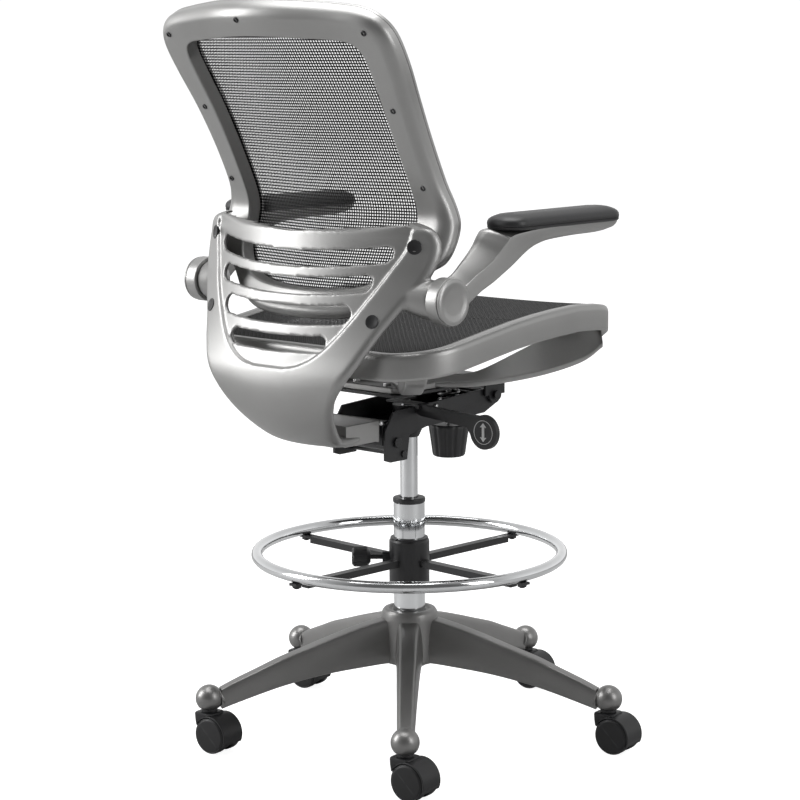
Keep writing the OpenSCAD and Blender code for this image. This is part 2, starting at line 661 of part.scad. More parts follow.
module seat_cross_frame() color(silver) {
    translate([-66, -60, plate_z + plate_t]) cube([132, 160, 10]);
    for (s = [-1, 1]) {
        cross_arm(front_arm, s);
        cross_arm(rear_arm, s);
    }
}

module seat_bolts() color("silver") for (s = [-1, 1], y = [-45, 85])
    translate([s * 32, y, plate_z + plate_t + 10]) cylinder(r = 6.5, h = 4, $fn = 6);

// ---------- arms ----------

module arm_solid() {
    side = [[168, 724], [138, 746], [103, 769], [68, 795], [35, 808], [-23, 814], [-97, 815],
        [-150, 822], [-158, 834], [116, 834], [130, 812], [150, 792], [180, 770], [190, 745],
        [180, 722]];
    plan = [[0, 215], [arm_hub_t, 215], [arm_hub_t, 160], [34, 135], [52, 112], [64, 90],
        [66, -120], [56, -150], [40, -160], [24, -160], [8, -146], [2, -120], [2, 112], [0, 150]];
    intersection() {
        rotate([90, 0, 90]) linear_extrude(height = 100) polygon(side);
        linear_extrude(height = 1000) polygon(plan);
    }
    translate([0, arm_y, arm_z]) rotate([0, 90, 0]) cylinder(r = arm_hub_r, h = arm_hub_t);
}

module arm(s) color(silver) mirror([s < 0 ? 1 : 0, 0, 0]) translate([arm_x0, 0, 0]) difference() {
    arm_solid();
    translate([-10, arm_y, arm_z]) rotate([0, 90, 0]) cylinder(r = arm_pin_r + fine, h = 60);
}

// Solid through a stack of outlines that have the same number of points, lowest first
module stack(outlines) {
    n = len(outlines[0]);
    m = len(outlines);
    skin = [for (i = [0:m - 2]) for (j = [0:n - 1]) let (a = i * n + j, b = i * n + (j + 1) % n)
        for (t = [[a, b + n, b], [a, a + n, b + n]]) t];
    low = [for (j = [0:n - 1]) j];
    top = [for (j = [n - 1:-1:0]) (m - 1) * n + j];
    polyhedron([for (o = outlines) for (p = o) p], concat([low], skin, [top]));
}

// Soft pad: long rounded plan with a rounded shoulder, each level [inset, height]
pad_levels = [[3, pad_z0], [0, pad_z0 + 5], [0, pad_z1 - 10], [2.2, pad_z1 - 5], [5, pad_z1 - 2],
    [9, pad_z1]];
pad_corner = 30;

module arm_pad(s) color("black") mirror([s < 0 ? 1 : 0, 0, 0])
    translate([pad_x0 + pad_w / 2, pad_rear_y - pad_len / 2, 0]) stack([for (q = pad_levels)
        let (u = pad_w / 2 - pad_corner, v = pad_len / 2 - pad_corner, r = pad_corner - q[0])
        [for (c = [[u, v, 0], [-u, v, 90], [-u, -v, 180], [u, -v, 270]])
            for (p = arc_points(c[0], c[1], r, c[2], c[2] + 90)) [p[0], p[1], q[1]]]]);

// ---------- assembly ----------

star_base();
column_tube();
column_bush();
thrust_bearing();
caster_stems();
piston_rod();
gas_cylinder();
cylinder_gland();
mechanism_housing();
mechanism_axles();
tilt_spring();
tension_knob();
tension_bolt();
height_lever();
release_pin();
tilt_lock_lever();
back_bracket();
yoke_bowl();
yoke();
yoke_bolts();
back_shell();
back_trim();
back_mesh();
frame_screws();
arm_pivot_pins();
arm_caps();
seat_plate();
seat_cross_frame();
seat_rim();
seat_mesh();
seat_bolts();
arm(1);  // arm_left
arm(-1);  // arm_right
arm_pad(1);  // arm_pad_left
arm_pad(-1);  // arm_pad_right
ring_bush();
ring_hub();
ring_tube();
ring_nuts();
clamp_knob();
for (i = CASTERS) {
    caster_hood(i);
    caster_axle(i);
    caster_wheel(i, 1);
    caster_wheel(i, -1);
}
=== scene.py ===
"""Looks of the drafting chair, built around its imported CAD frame."""

import json
import math

import bpy
import bmesh
import numpy as np
from mathutils import Matrix, Vector
from mathutils.geometry import delaunay_2d_cdt


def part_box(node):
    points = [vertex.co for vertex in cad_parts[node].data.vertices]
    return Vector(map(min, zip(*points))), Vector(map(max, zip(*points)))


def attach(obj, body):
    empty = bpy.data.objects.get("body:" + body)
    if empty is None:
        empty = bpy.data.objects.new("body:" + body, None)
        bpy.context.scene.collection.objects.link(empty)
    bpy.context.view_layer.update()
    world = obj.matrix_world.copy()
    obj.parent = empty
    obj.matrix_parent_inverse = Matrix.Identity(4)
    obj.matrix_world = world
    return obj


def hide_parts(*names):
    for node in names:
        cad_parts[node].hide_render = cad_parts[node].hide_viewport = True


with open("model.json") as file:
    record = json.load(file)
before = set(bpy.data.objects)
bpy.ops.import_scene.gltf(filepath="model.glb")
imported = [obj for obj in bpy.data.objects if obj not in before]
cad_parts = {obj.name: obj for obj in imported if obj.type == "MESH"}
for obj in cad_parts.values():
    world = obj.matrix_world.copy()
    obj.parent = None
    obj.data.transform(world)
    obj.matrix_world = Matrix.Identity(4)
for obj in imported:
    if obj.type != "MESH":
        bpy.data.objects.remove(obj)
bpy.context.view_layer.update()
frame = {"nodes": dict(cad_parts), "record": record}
CASTERS = (1, 2, 3, 4, 5)
BODY_OF = {node: body for body, nodes in frame["record"]["behaviour"]["bodies"].items() for node in nodes}


# ---------- small helpers ----------

def mix(a, b, t):
    return a + (b - a) * t


def lookup(x, table):
    """Value at x of a table of (x, value) pairs, smoothed between them."""
    xs = [p[0] for p in table]
    ys = [p[1] for p in table]
    slopes = np.gradient(ys, xs)
    x = min(max(x, xs[0]), xs[-1])
    k = min(max(int(np.searchsorted(xs, x)) - 1, 0), len(xs) - 2)
    h = xs[k + 1] - xs[k]
    t = (x - xs[k]) / h
    return ((2 * t**3 - 3 * t**2 + 1) * ys[k] + (t**3 - 2 * t**2 + t) * h * slopes[k]
            + (3 * t**2 - 2 * t**3) * ys[k + 1] + (t**3 - t**2) * h * slopes[k + 1])


def smooth_line(points, steps, closed=False):
    """Catmull-Rom curve through points, with steps pieces between each two."""
    p = [np.array(q, float) for q in points]
    n = len(p)
    out = []
    for i in range(n if closed else n - 1):
        a, b, c, d = (p[(i + k) % n] if closed else p[min(max(i + k, 0), n - 1)]
                      for k in (-1, 0, 1, 2))
        for k in range(steps):
            t = k / steps
            out.append(0.5 * (2 * b + (c - a) * t + (2 * a - 5 * b + 4 * c - d) * t**2
                              + (3 * b - a - 3 * c + d) * t**3))
    if not closed:
        out.append(p[-1])
    return out


def both_halves(half):
    """Closed outline from one that starts and ends on the middle plane, x first."""
    other = [np.array([-p[0], *p[1:]]) for p in half[-2:0:-1]]
    return [np.array(p, float) for p in half] + other


def make(name, verts, faces, material, smooth=True):
    """New piece from vertices and faces, its normals pointing outward."""
    mesh = bpy.data.meshes.new(name)
    mesh.from_pydata([tuple(v) for v in verts], [], [tuple(f) for f in faces])
    piece = bpy.data.objects.new(name, mesh)
    bpy.context.scene.collection.objects.link(piece)
    bm = bmesh.new()
    bm.from_mesh(mesh)
    bmesh.ops.recalc_face_normals(bm, faces=bm.faces)
    bm.to_mesh(mesh)
    bm.free()
    mesh.materials.append(material)
    for face in mesh.polygons:
        face.use_smooth = smooth
    return piece


def loft(rings, closed=False):
    """Vertices and faces through rings of equal length: back to the first ring, or capped at both ends."""
    m = len(rings[0])
    verts = [p for ring in rings for p in ring]
    faces = []
    count = len(rings)
    for i in range(count if closed else count - 1):
        k = (i + 1) % count
        for j in range(m):
            faces.append((i * m + j, i * m + (j + 1) % m, k * m + (j + 1) % m, k * m + j))
    if not closed:
        faces.append(tuple(range(m)))
        faces.append(tuple(range((count - 1) * m, count * m)))
    return verts, faces


def joined(*parts):
    """Several (vertices, faces) parts as one."""
    verts, faces = [], []
    for v, f in parts:
        base = len(verts)
        verts += list(v)
        faces += [tuple(i + base for i in face) for face in f]
    return verts, faces


def turned(profile, steps=64):
    """Solid of revolution about Z from (radius, height) points, with a flat cap at each end."""
    rings = [[(r * math.cos(2 * math.pi * k / steps), r * math.sin(2 * math.pi * k / steps), z)
              for k in range(steps)] for r, z in profile]
    return loft(rings)


def turned_hollow(profile, steps=96):
    """Hollow solid of revolution about Z from a closed loop of (radius, height) points."""
    return loft([[(r * math.cos(2 * math.pi * k / steps), r * math.sin(2 * math.pi * k / steps), z)
                  for r, z in profile] for k in range(steps)], closed=True)


def arc(cx, cy, rx, ry, a0, a1, steps):
    """Points along an ellipse from angle a0 to a1, in degrees."""
    return [(cx + rx * math.cos(math.radians(mix(a0, a1, k / steps))),
             cy + ry * math.sin(math.radians(mix(a0, a1, k / steps)))) for k in range(steps + 1)]


def rounded_rectangle(x0, x1, z0, z1, r, steps):
    out = []
    for cx, cz, a in ((x1 - r, z0 + r, -90), (x1 - r, z1 - r, 0),
                      (x0 + r, z1 - r, 90), (x0 + r, z0 + r, 180)):
        out += arc(cx, cz, r, r, a, a + 90, steps)
    return out


def moved(part, matrix):
    verts, faces = part
    return [matrix @ Vector(v) for v in verts], faces


def modify(piece, kind, **values):
    m = piece.modifiers.new(kind.lower(), kind)
    for key, value in values.items():
        setattr(m, key, value)


def apply_all(piece):
    """Bake the modifiers into the mesh."""
    depsgraph = bpy.context.evaluated_depsgraph_get()
    mesh = bpy.data.meshes.new_from_object(piece.evaluated_get(depsgraph))
    piece.modifiers.clear()
    piece.data = mesh


def sharpen(piece, degrees=35):
    """Smooth shading with creases kept sharper than an angle."""
    modify(piece, "WEIGHTED_NORMAL", keep_sharp=True)
    mesh = piece.data
    bm = bmesh.new()
    bm.from_mesh(mesh)
    for edge in bm.edges:
        if len(edge.link_faces) == 2 and edge.calc_face_angle(0) > math.radians(degrees):
            edge.smooth = False
    bm.to_mesh(mesh)
    bm.free()
    return piece


def set_up(piece, body, slot, *nodes):
    """Tie a piece to its body and hide the CAD nodes it stands for. The slot argument is not used."""
    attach(piece, body)
    if nodes:
        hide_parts(*nodes)


# ---------- materials ----------

class Nodes:
    """A material's node tree with short calls to add and link nodes."""

    def __init__(self, name):
        self.material = bpy.data.materials.new(name)
        self.material.use_nodes = True
        self.tree = self.material.node_tree
        self.shader = self.tree.nodes["Principled BSDF"]

    def add(self, kind, **inputs):
        node = self.tree.nodes.new(kind)
        for key, value in inputs.items():
            socket = key.replace("_", " ")
            if hasattr(value, "is_output"):
                self.tree.links.new(value, node.inputs[socket])
            else:
                node.inputs[socket].default_value = value
        return node

    def coordinates(self, scale=1.0, stretch=(1, 1, 1)):
        where = self.add("ShaderNodeTexCoord").outputs["Object"]
        mapping = self.add("ShaderNodeMapping", Vector=where)
        mapping.inputs["Scale"].default_value = [scale * s for s in stretch]
        return mapping.outputs["Vector"]

    def noise(self, vector, scale, detail=4.0, roughness=0.55):
        return self.add("ShaderNodeTexNoise", Vector=vector, Scale=scale, Detail=detail,
                        Roughness=roughness).outputs["Fac"]

    def ramp(self, value, stops):
        node = self.add("ShaderNodeValToRGB", Fac=value)
        ramp = node.color_ramp
        while len(ramp.elements) < len(stops):
            ramp.elements.new(0.5)
        for element, (at, colour) in zip(ramp.elements, stops):
            element.position = at
            element.color = (*colour, 1) if len(colour) == 3 else (colour[0],) * 3 + (1,)
        return node.outputs["Color"]

    def spread(self, value, low, high):
        return self.add("ShaderNodeMapRange", Value=value, To_Min=low, To_Max=high).outputs[0]

    def set(self, **values):
        for key, value in values.items():
            socket = self.shader.inputs[key.replace("_", " ")]
            if hasattr(value, "is_output"):
                self.tree.links.new(value, socket)
            else:
                socket.default_value = value
        return self

    def bump(self, height, strength, distance=0.001):
        node = self.add("ShaderNodeBump", Height=height, Strength=strength, Distance=distance)
        self.tree.links.new(node.outputs["Normal"], self.shader.inputs["Normal"])
        return self

    def painted_edge_highlight(self, base, lit_tone, amount=0.5):
        """Base colour with a painted highlight: a lighter tone where edges stick out."""
        point = self.add("ShaderNodeNewGeometry").outputs["Pointiness"]
        edge = self.ramp(point, [(0.5, (0.0,)), (0.62, (1.0,))])
        node = self.tree.nodes.new("ShaderNodeMix")
        node.data_type = "RGBA"
        self.tree.links.new(self.spread(edge, 0.0, amount), node.inputs[0])
        self.tree.links.new(base, node.inputs[6])
        node.inputs[7].default_value = (*lit_tone, 1)
        return node.outputs[2]


def scaled(colour, by):
    return tuple(c * by for c in colour)


def paint(name, colour, rough):
    """Satin metallic paint: fine flake, slow tone drift, a light orange peel and painted highlights on edges
    that stick out.
    """
    n = Nodes(name)
    where = n.coordinates()
    flake = n.noise(where, 2600.0, 2.0)
    drift = n.noise(where, 14.0, 3.0)
    peel = n.noise(where, 420.0, 2.0)
    tone = n.ramp(n.spread(drift, 0.25, 0.75), [(0.2, scaled(colour, 0.90)), (0.8, scaled(colour, 1.08))])
    speck = n.tree.nodes.new("ShaderNodeMix")
    speck.data_type = "RGBA"
    speck.blend_type = "MULTIPLY"
    speck.inputs[0].default_value = 0.35
    n.tree.links.new(tone, speck.inputs[6])
    n.tree.links.new(n.ramp(flake, [(0.35, (0.72,)), (0.65, (1.0,))]), speck.inputs[7])
    # Edges that stick out get a lighter tone: a painted highlight.
    n.set(Base_Color=n.painted_edge_highlight(speck.outputs[2], tuple(min(1, c * 1.35) for c in colour), 0.35),
          Metallic=0.85, Roughness=n.spread(drift, rough - 0.04, rough + 0.05),
          Coat_Weight=0.10, Coat_Roughness=0.30)
    n.bump(peel, 0.05, 0.0004)
    return n.material


def metal(name, colour, rough, smudge):
    """Bare or plated metal: faint smudges and a fine brushed grain."""
    n = Nodes(name)
    where = n.coordinates()
    cloud = n.noise(where, 26.0, 5.0)
    fine = n.noise(n.coordinates(1.0, (1, 1, 0.1)), 900.0, 2.0)
    low = scaled(colour, 0.93)
    n.set(Base_Color=n.ramp(cloud, [(0.3, low), (0.7, colour)]), Metallic=1.0,
          Roughness=n.spread(cloud, rough, rough + smudge))
    n.bump(fine, 0.03, 0.0002)
    return n.material


def plastic(name, colour, rough, grain=900.0, depth=0.12):
    """Moulded black plastic or powder coat: fine grain, faint bloom and painted highlights on edges that
    stick out.
    """
    n = Nodes(name)
    where = n.coordinates()
    cells = n.add("ShaderNodeTexVoronoi", Vector=where, Scale=grain).outputs["Distance"]
    cloud = n.noise(where, 30.0, 5.0)
    base = n.ramp(cloud, [(0.3, scaled(colour, 0.75)), (0.75, scaled(colour, 1.3))])
    # Edges that stick out get a lighter tone: a painted highlight.
    n.set(Base_Color=n.painted_edge_highlight(base, tuple(min(1, c * 2.6 + 0.02) for c in colour), 0.5),
          Roughness=n.spread(cloud, rough - 0.06, rough + 0.08), Specular_IOR_Level=0.5)
    n.bump(cells, depth, 0.0004)
    return n.material


def yarn(name, colour):
    """Extruded plastic yarn of the woven back and seat."""
    n = Nodes(name)
    where = n.coordinates()
    fibre = n.noise(where, 1600.0, 3.0)
    cloud = n.noise(where, 18.0, 3.0)
    n.set(Base_Color=n.ramp(cloud, [(0.3, scaled(colour, 0.7)), (0.7, scaled(colour, 1.4))]),
          Roughness=n.spread(fibre, 0.45, 0.65), Specular_IOR_Level=0.30)
    n.bump(fibre, 0.25, 0.0003)
    return n.material


def soft_skin(name, colour):
    """Skin of a moulded foam arm pad: pebbled and creased grain, random tone and a thin clear coat."""
    n = Nodes(name)
    where = n.coordinates()
    pebble = n.add("ShaderNodeTexVoronoi", Vector=where, Scale=520.0).outputs["Distance"]
    crease = n.noise(where, 240.0, 5.0, 0.6)
    cloud = n.noise(where, 16.0, 4.0)
    both = n.tree.nodes.new("ShaderNodeMath")
    both.operation = "ADD"
    n.tree.links.new(pebble, both.inputs[0])
    n.tree.links.new(crease, both.inputs[1])
    n.set(Base_Color=n.ramp(cloud, [(0.3, scaled(colour, 0.8)), (0.7, scaled(colour, 1.35))]),
          Roughness=n.spread(cloud, 0.40, 0.55), Coat_Weight=0.12, Coat_Roughness=0.35)
    n.bump(both.outputs[0], 0.22, 0.0005)
    return n.material


SILVER = paint("silver_paint", (0.375, 0.373, 0.368), 0.42)
BASE_GREY = paint("base_paint", (0.265, 0.262, 0.258), 0.38)
CHROME = metal("chrome", (0.80, 0.81, 0.82), 0.05, 0.03)
ZINC = metal("zinc_steel", (0.60, 0.60, 0.60), 0.24, 0.12)
BLACK = plastic("black_plastic", (0.014, 0.014, 0.015), 0.40)
STEEL_BLACK = plastic("black_steel", (0.012, 0.012, 0.013), 0.34, 1500.0, 0.08)
CASTER = plastic("caster_plastic", (0.008, 0.008, 0.009), 0.40, 1200.0, 0.06)
TREAD = plastic("caster_tread", (0.007, 0.007, 0.008), 0.46, 1100.0, 0.08)
BACK_YARN = yarn("back_yarn", (0.012, 0.012, 0.012))
SEAT_YARN = yarn("seat_yarn", (0.006, 0.006, 0.006))
FOAM = soft_skin("arm_foam", (0.014, 0.014, 0.015))
ICON = plastic("icon_ink", (0.55, 0.55, 0.55), 0.5)

BY_SLOT = {"silver_paint": SILVER, "base_paint": BASE_GREY, "chrome": CHROME, "zinc_steel": ZINC,
           "black_plastic": BLACK, "black_steel": STEEL_BLACK, "back_fabric": BACK_YARN,
           "seat_fabric": SEAT_YARN, "arm_foam": FOAM, "caster_plastic": CASTER,
           "caster_tread": TREAD}


def paint_cad_nodes():
    """Give each CAD node the material of its slot, for those that show as they are."""
    for part in frame["record"]["subparts"]:
        mesh = frame["nodes"][part["node"]].data
        mesh.materials.clear()
        mesh.materials.append(BY_SLOT[part["material_slot"]])


# ---------- camera, floor and light ----------

def camera():
    """Behind the sitter's right shoulder, a little above the arms, with a long lens."""
    eye = Vector((-2.4055, 2.6716, 1.1135))
    look = Vector((0.66082, -0.73391, -0.15712))
    data = bpy.data.cameras.new("camera")
    data.sensor_width = 36
    data.lens = 103.4
    data.shift_x = -0.01075
    cam = bpy.data.objects.new("camera", data)
    turn = look.to_track_quat("-Z", "Y").to_matrix() @ Matrix.Rotation(math.radians(-0.27), 3, "Z")
    cam.matrix_world = Matrix.Translation(eye) @ turn.to_4x4()
    bpy.context.scene.collection.objects.link(cam)
    bpy.context.scene.camera = cam


FLOOR_HALF = 9
FLOOR_TONE = 0.42
FLOOR_GLOW = 0.90
WORLD_GLOW = 0.95
TOWARD_VIEWER = (-0.66, 0.73, 0.16)


def floor():
    """Pale floor that reads as a white sweep but throws only a little light back up."""
    n = Nodes("floor")
    ray = n.add("ShaderNodeLightPath").outputs["Is Camera Ray"]
    tone = n.ramp(n.noise(n.coordinates(), 3.0), [(0.3, (FLOOR_TONE,)), (0.7, (FLOOR_TONE + 0.02,))])
    n.set(Base_Color=tone, Roughness=0.8, Emission_Color=(1, 1, 1, 1),
          Emission_Strength=n.spread(ray, 0.0, FLOOR_GLOW))
    corners = [(x * FLOOR_HALF, y * FLOOR_HALF, 0) for x, y in ((-1, -1), (1, -1), (1, 1), (-1, 1))]
    piece = make("floor", corners, [(0, 1, 2, 3)], n.material)


def area_light(name, place, aim, size, power):
    """Rectangular softbox at a place, turned to face its aim."""
    data = bpy.data.lights.new(name, "AREA")
    data.shape = "RECTANGLE"
    data.size, data.size_y = size
    data.energy = power
    lamp = bpy.data.objects.new(name, data)
    lamp.location = place
    lamp.rotation_euler = (Vector(aim) - Vector(place)).to_track_quat("-Z", "Y").to_euler()
    bpy.context.scene.collection.objects.link(lamp)


def light():
    """White studio, darker on the side the picture is taken from, with a tall softbox on each side."""
    world = bpy.data.worlds.new("studio")
    bpy.context.scene.world = world
    world.use_nodes = True
    tree = world.node_tree

    def node(kind, **values):
        made = tree.nodes.new(kind)
        for key, value in values.items():
            setattr(made, key, value)
        return made

    def ramp(value, stops):
        made = node("ShaderNodeValToRGB")
        for element, (at, tone) in zip(made.color_ramp.elements, stops):
            element.position, element.color = at, (tone, tone, tone, 1)
        tree.links.new(value, made.inputs[0])
        return made.outputs["Color"]

    where = node("ShaderNodeTexCoord").outputs["Generated"]
    split = node("ShaderNodeSeparateXYZ")
    tree.links.new(where, split.inputs[0])
    facing = node("ShaderNodeVectorMath", operation="DOT_PRODUCT")
    tree.links.new(where, facing.inputs[0])
    facing.inputs[1].default_value = TOWARD_VIEWER
    both = node("ShaderNodeMix", data_type="RGBA", blend_type="MULTIPLY")
    both.inputs[0].default_value = 1.0
    tree.links.new(ramp(facing.outputs["Value"], [(0.05, 1.0), (0.80, 0.16)]), both.inputs[6])
    tree.links.new(ramp(split.outputs["Z"], [(0.10, 0.95), (0.80, 0.60)]), both.inputs[7])
    seen = node("ShaderNodeMix", data_type="RGBA")
    tree.links.new(node("ShaderNodeLightPath").outputs["Is Camera Ray"], seen.inputs[0])
    tree.links.new(both.outputs[2], seen.inputs[6])
    seen.inputs[7].default_value = (1.1, 1.1, 1.1, 1)
    tree.links.new(seen.outputs[2], tree.nodes["Background"].inputs["Color"])
    tree.nodes["Background"].inputs["Strength"].default_value = WORLD_GLOW
    area_light("left", (2.6, 2.4, 1.9), (0, 0, 0.65), (1.4, 2.4), 86)
    area_light("right", (-3.2, -0.2, 1.7), (0, 0, 0.65), (1.0, 2.4), 32)
    area_light("top", (0.2, 0.1, 3.6), (0, 0, 0.5), (2.4, 2.4), 84)
    bpy.context.scene.view_settings.view_transform = "Standard"


# ---------- back ----------

# Rear face of the back frame at its outer edge: (height, distance behind the column)
SIDE_LINE = [(.688, .243), (.706, .238), (.740, .222), (.776, .203), (.810, .186), (.840, .172),
             (.862, .1725), (.894, .188), (.950, .216), (1.006, .246), (1.060, .278), (1.115, .312),
             (1.147, .334)]
# How much further back the middle of the frame lies, by height
BULGE = [(.688, .020), (.840, .030), (1.147, .040)]
# Backward lean of the frame in degrees, by height
LEAN = [(.850, 0), (.930, 28)]
# Thickness of the rear half, the shell
SHELL = 0.022
# Outline of one half of the frame, from the middle of the top to the middle of the bottom
FRAME_OUT = [(0, 1.151), (.05, 1.1505), (.10, 1.148), (.15, 1.144), (.19, 1.138), (.217, 1.125),
             (.232, 1.102), (.232, 1.060), (.224, 1.006), (.219, .950), (.219, .894), (.227, .862),
             (.234, .838), (.234, .805), (.226, .785), (.207, .773), (.180, .757), (.140, .722),
             (.100, .703), (.05, .697), (0, .696)]
FRAME_IN = [(0, 1.1105), (.05, 1.1095), (.095, 1.107), (.130, 1.105), (.152, 1.103), (.170, 1.097),
            (.179, 1.083), (.180, 1.060), (.176, 1.006), (.174, .950), (.174, .894), (.174, .862),
            (.174, .838), (.173, .815), (.170, .797), (.163, .783), (.149, .768), (.122, .753),
            (.090, .745), (.048, .741), (0, .740)]


def straight(x, table):
    return float(np.interp(x, [p[0] for p in table], [p[1] for p in table]))


def eased(z, table):
    """Table value with its corners rounded over 36 mm of height."""
    return sum(straight(z + step, table) for step in (-.018, -.012, -.006, 0, .006, .012, .018)) / 7


def lean(z):
    return eased(z, LEAN)


def back_y(x, z):
    """Rear face of the frame behind the column: furthest at the middle plane."""
    swell = 0.5 * (1 + math.cos(math.radians(900 * min(abs(x), 0.2))))
    return eased(z, SIDE_LINE) + straight(z, BULGE) * swell


def back_at(x, z, depth):
    """Point at a depth in from the rear face of the back frame."""
    a = math.radians(lean(z))
    return Vector((x, back_y(x, z) - depth * math.cos(a), z + depth * math.sin(a)))


# Sections of the frame's halves: (share of the way from outer to inner edge, depth from the rear face)
SHELL_PROFILE = [(0, SHELL + .0038), (0, .0175), (.012, .0145), (.03, .0118), (.06, .0092), (.10, .0068),
                 (.15, .0045), (.21, .0025), (.28, .0010), (.36, .0001), (.50, 0), (.75, 0), (.93, 0),
                 (.965, .0005), (.985, .0014), (.997, .0028), (1, .0045), (1, .012), (1, SHELL + .0012),
                 (.5, SHELL + .0012), (.14, SHELL + .0012), (.10, SHELL + .0038)]
TRIM_PROFILE = [(0, SHELL + .0047), (0, SHELL + .0082), (.012, SHELL + .0097), (.05, SHELL + .0108),
                (.5, SHELL + .0110), (.94, SHELL + .0108), (.985, SHELL + .0096), (1, SHELL + .0080),
                (1, SHELL + .0046), (.5, SHELL + .0046), (.12, SHELL + .0046)]


def back_frame():
    """Rear shell and front trim, each one closed ring."""
    outer = smooth_line(both_halves(FRAME_OUT), 5, True)
    inner = smooth_line(both_halves(FRAME_IN), 5, True)
    for name, profile, node in (("back_shell_skin", SHELL_PROFILE, "back_shell"),
                                ("back_trim_skin", TRIM_PROFILE, "back_trim")):
        rings = [[back_at(mix(o[0], i[0], share), mix(o[1], i[1], share), depth)
                  for share, depth in profile] for o, i in zip(outer, inner)]
        piece = make(name, *loft(rings, closed=True), SILVER)
        set_up(sharpen(piece, 50), "back", "silver_paint", node)


def lattice(name, material, surface, columns, rows, width, thick, inside):
    """Woven sheet of flat yarns: one runs along each grid line of surface(u, v), over and under."""
    verts, faces = [], []

    def run(points):
        """One yarn through points, each (place, side, normal, over or under), or None for a gap."""
        start = None
        for p in points + [None]:
            if p is None:
                if start is not None and len(verts) - start >= 8:
                    first, last = start, len(verts) - 4
                    faces.append((first, first + 3, first + 2, first + 1))
                    faces.append((last, last + 1, last + 2, last + 3))
                elif start is not None:
                    del verts[start:]
                start = None
                continue
            place, side, normal, over = p
            middle = place + normal * over
            if start is None:
                start = len(verts)
            else:
                base = len(verts) - 4
                for k in range(4):
                    a, b = base + k, base + (k + 1) % 4
                    faces.append((a, b, b + 4, a + 4))
            verts.extend([middle - side * width / 2, middle - normal * thick / 2,
                          middle + side * width / 2, middle + normal * thick / 2])

    grid = [[surface(i / columns, j / rows) for j in range(rows + 1)] for i in range(columns + 1)]
    step = [[None] * (rows + 1) for _ in range(columns + 1)]
    for i in range(columns + 1):
        for j in range(rows + 1):
            du = grid[min(i + 1, columns)][j] - grid[max(i - 1, 0)][j]
            dv = grid[i][min(j + 1, rows)] - grid[i][max(j - 1, 0)]
            normal = du.cross(dv).normalized()
            step[i][j] = (du.normalized(), dv.normalized(), normal, inside(i / columns, j / rows))
    for i in range(columns + 1):
        run([(grid[i][j], step[i][j][0], step[i][j][2], thick * 0.5 * (1 if (i + j) % 2 else -1))
             if step[i][j][3] else None for j in range(rows + 1)])
    for j in range(rows + 1):
        run([(grid[i][j], step[i][j][1], step[i][j][2], thick * 0.5 * (-1 if (i + j) % 2 else 1))
             if step[i][j][3] else None for i in range(columns + 1)])
    return make(name, verts, faces, material, smooth=False)


def inside_outline(x, y, outline):
    """True if a point lies inside a closed outline."""
    hit = False
    n = len(outline)
    for k in range(n):
        (x0, y0), (x1, y1) = outline[k][:2], outline[(k + 1) % n][:2]
        if (y0 > y) != (y1 > y) and x < x0 + (y - y0) / (y1 - y0) * (x1 - x0):
            hit = not hit
    return hit


BACK_PITCH = 0.0042


def back_mesh():
    """Weave of the back, its edge held in the frame."""
    outer = smooth_line(both_halves(FRAME_OUT), 4, True)
    inner = smooth_line(both_halves(FRAME_IN), 4, True)
    edge = [mix(i, o, 0.22) for o, i in zip(outer, inner)]
    half, z0, z1 = 0.188, 0.728, 1.116
    columns, rows = round(2 * half / BACK_PITCH), round((z1 - z0) / BACK_PITCH)

    def surface(u, v):
        return back_at(mix(-half, half, u), mix(z0, z1, v), SHELL + .0029)

    def inside(u, v):
        return inside_outline(mix(-half, half, u), mix(z0, z1, v), edge)

    piece = lattice("back_mesh_weave", BACK_YARN, surface, columns, rows, 0.0023, 0.0007, inside)
    set_up(piece, "back", "back_fabric", "back_mesh")


# ---------- back support ----------

# Rear face down its middle: [behind the column, height, half width, forward sweep, rise]
SPINE = [(.266, .842, .196, .064, .004), (.268, .829, .2265, .066, .006), (.272, .806, .237, .072, .004),
         (.279, .775, .231, .066, 0), (.288, .740, .212, .052, 0), (.299, .695, .184, .036, 0),
         (.308, .655, .163, .022, 0), (.316, .620, .143, .014, 0), (.316, .588, .121, .014, 0),
         (.304, .556, .102, .018, 0), (.280, .526, .084, .022, 0), (.248, .506, .069, .018, 0),
         (.205, .4985, .056, .006, 0), (.165, .498, .0505, 0, 0)]
# Half width of the recessed ribbed panel, by height
PANEL_HALF = [(.628, 0), (.6295, .026), (.633, .048), (.639, .066), (.647, .081), (.658, .096),
              (.673, .111), (.700, .132), (.740, .158), (.775, .178), (.806, .196), (.829, .201), (.85, .201)]
# Slots between the ribs: (lower edge, upper edge, half length)
SLOTS = [(.777, .800, .176), (.737, .761, .154), (.693, .720, .130), (.653, .676, .098)]
# How far the slots curve up toward their ends
SMILE = 0.015
# The panel lies this deep in the rear face of the wall
PANEL_DEPTH = 0.005
PANEL_THICK = 0.0075
WALL = 0.015
# Pivot of the arms, behind the column and above the floor, and the stub that holds it: (x, y, z, radius)
PIVOT_Y, PIVOT_Z = .197, .734
STUB = [(.190, .224, .741, .014), (.203, .215, .738, .024), (.219, .206, .736, .0280),
        (.2392, PIVOT_Y, PIVOT_Z, .0305)]


def spine_at(z):
    """Row of SPINE at a height above the bowl's lowest bend."""
    heights = [(s[1], s) for s in SPINE][::-1]
    return [lookup(z, [(h, s[k]) for h, s in heights if h > 0.5]) for k in range(5)]


def wall_point(s, direction, x, depth):
    """Point on the support at distance x from the middle plane, at a depth in from the rear face."""
    u = min(1.0, abs(x) / s[2])
    return np.array([x, s[0] - s[3] * u * u, s[1] + s[4] * u * u]) + depth * direction


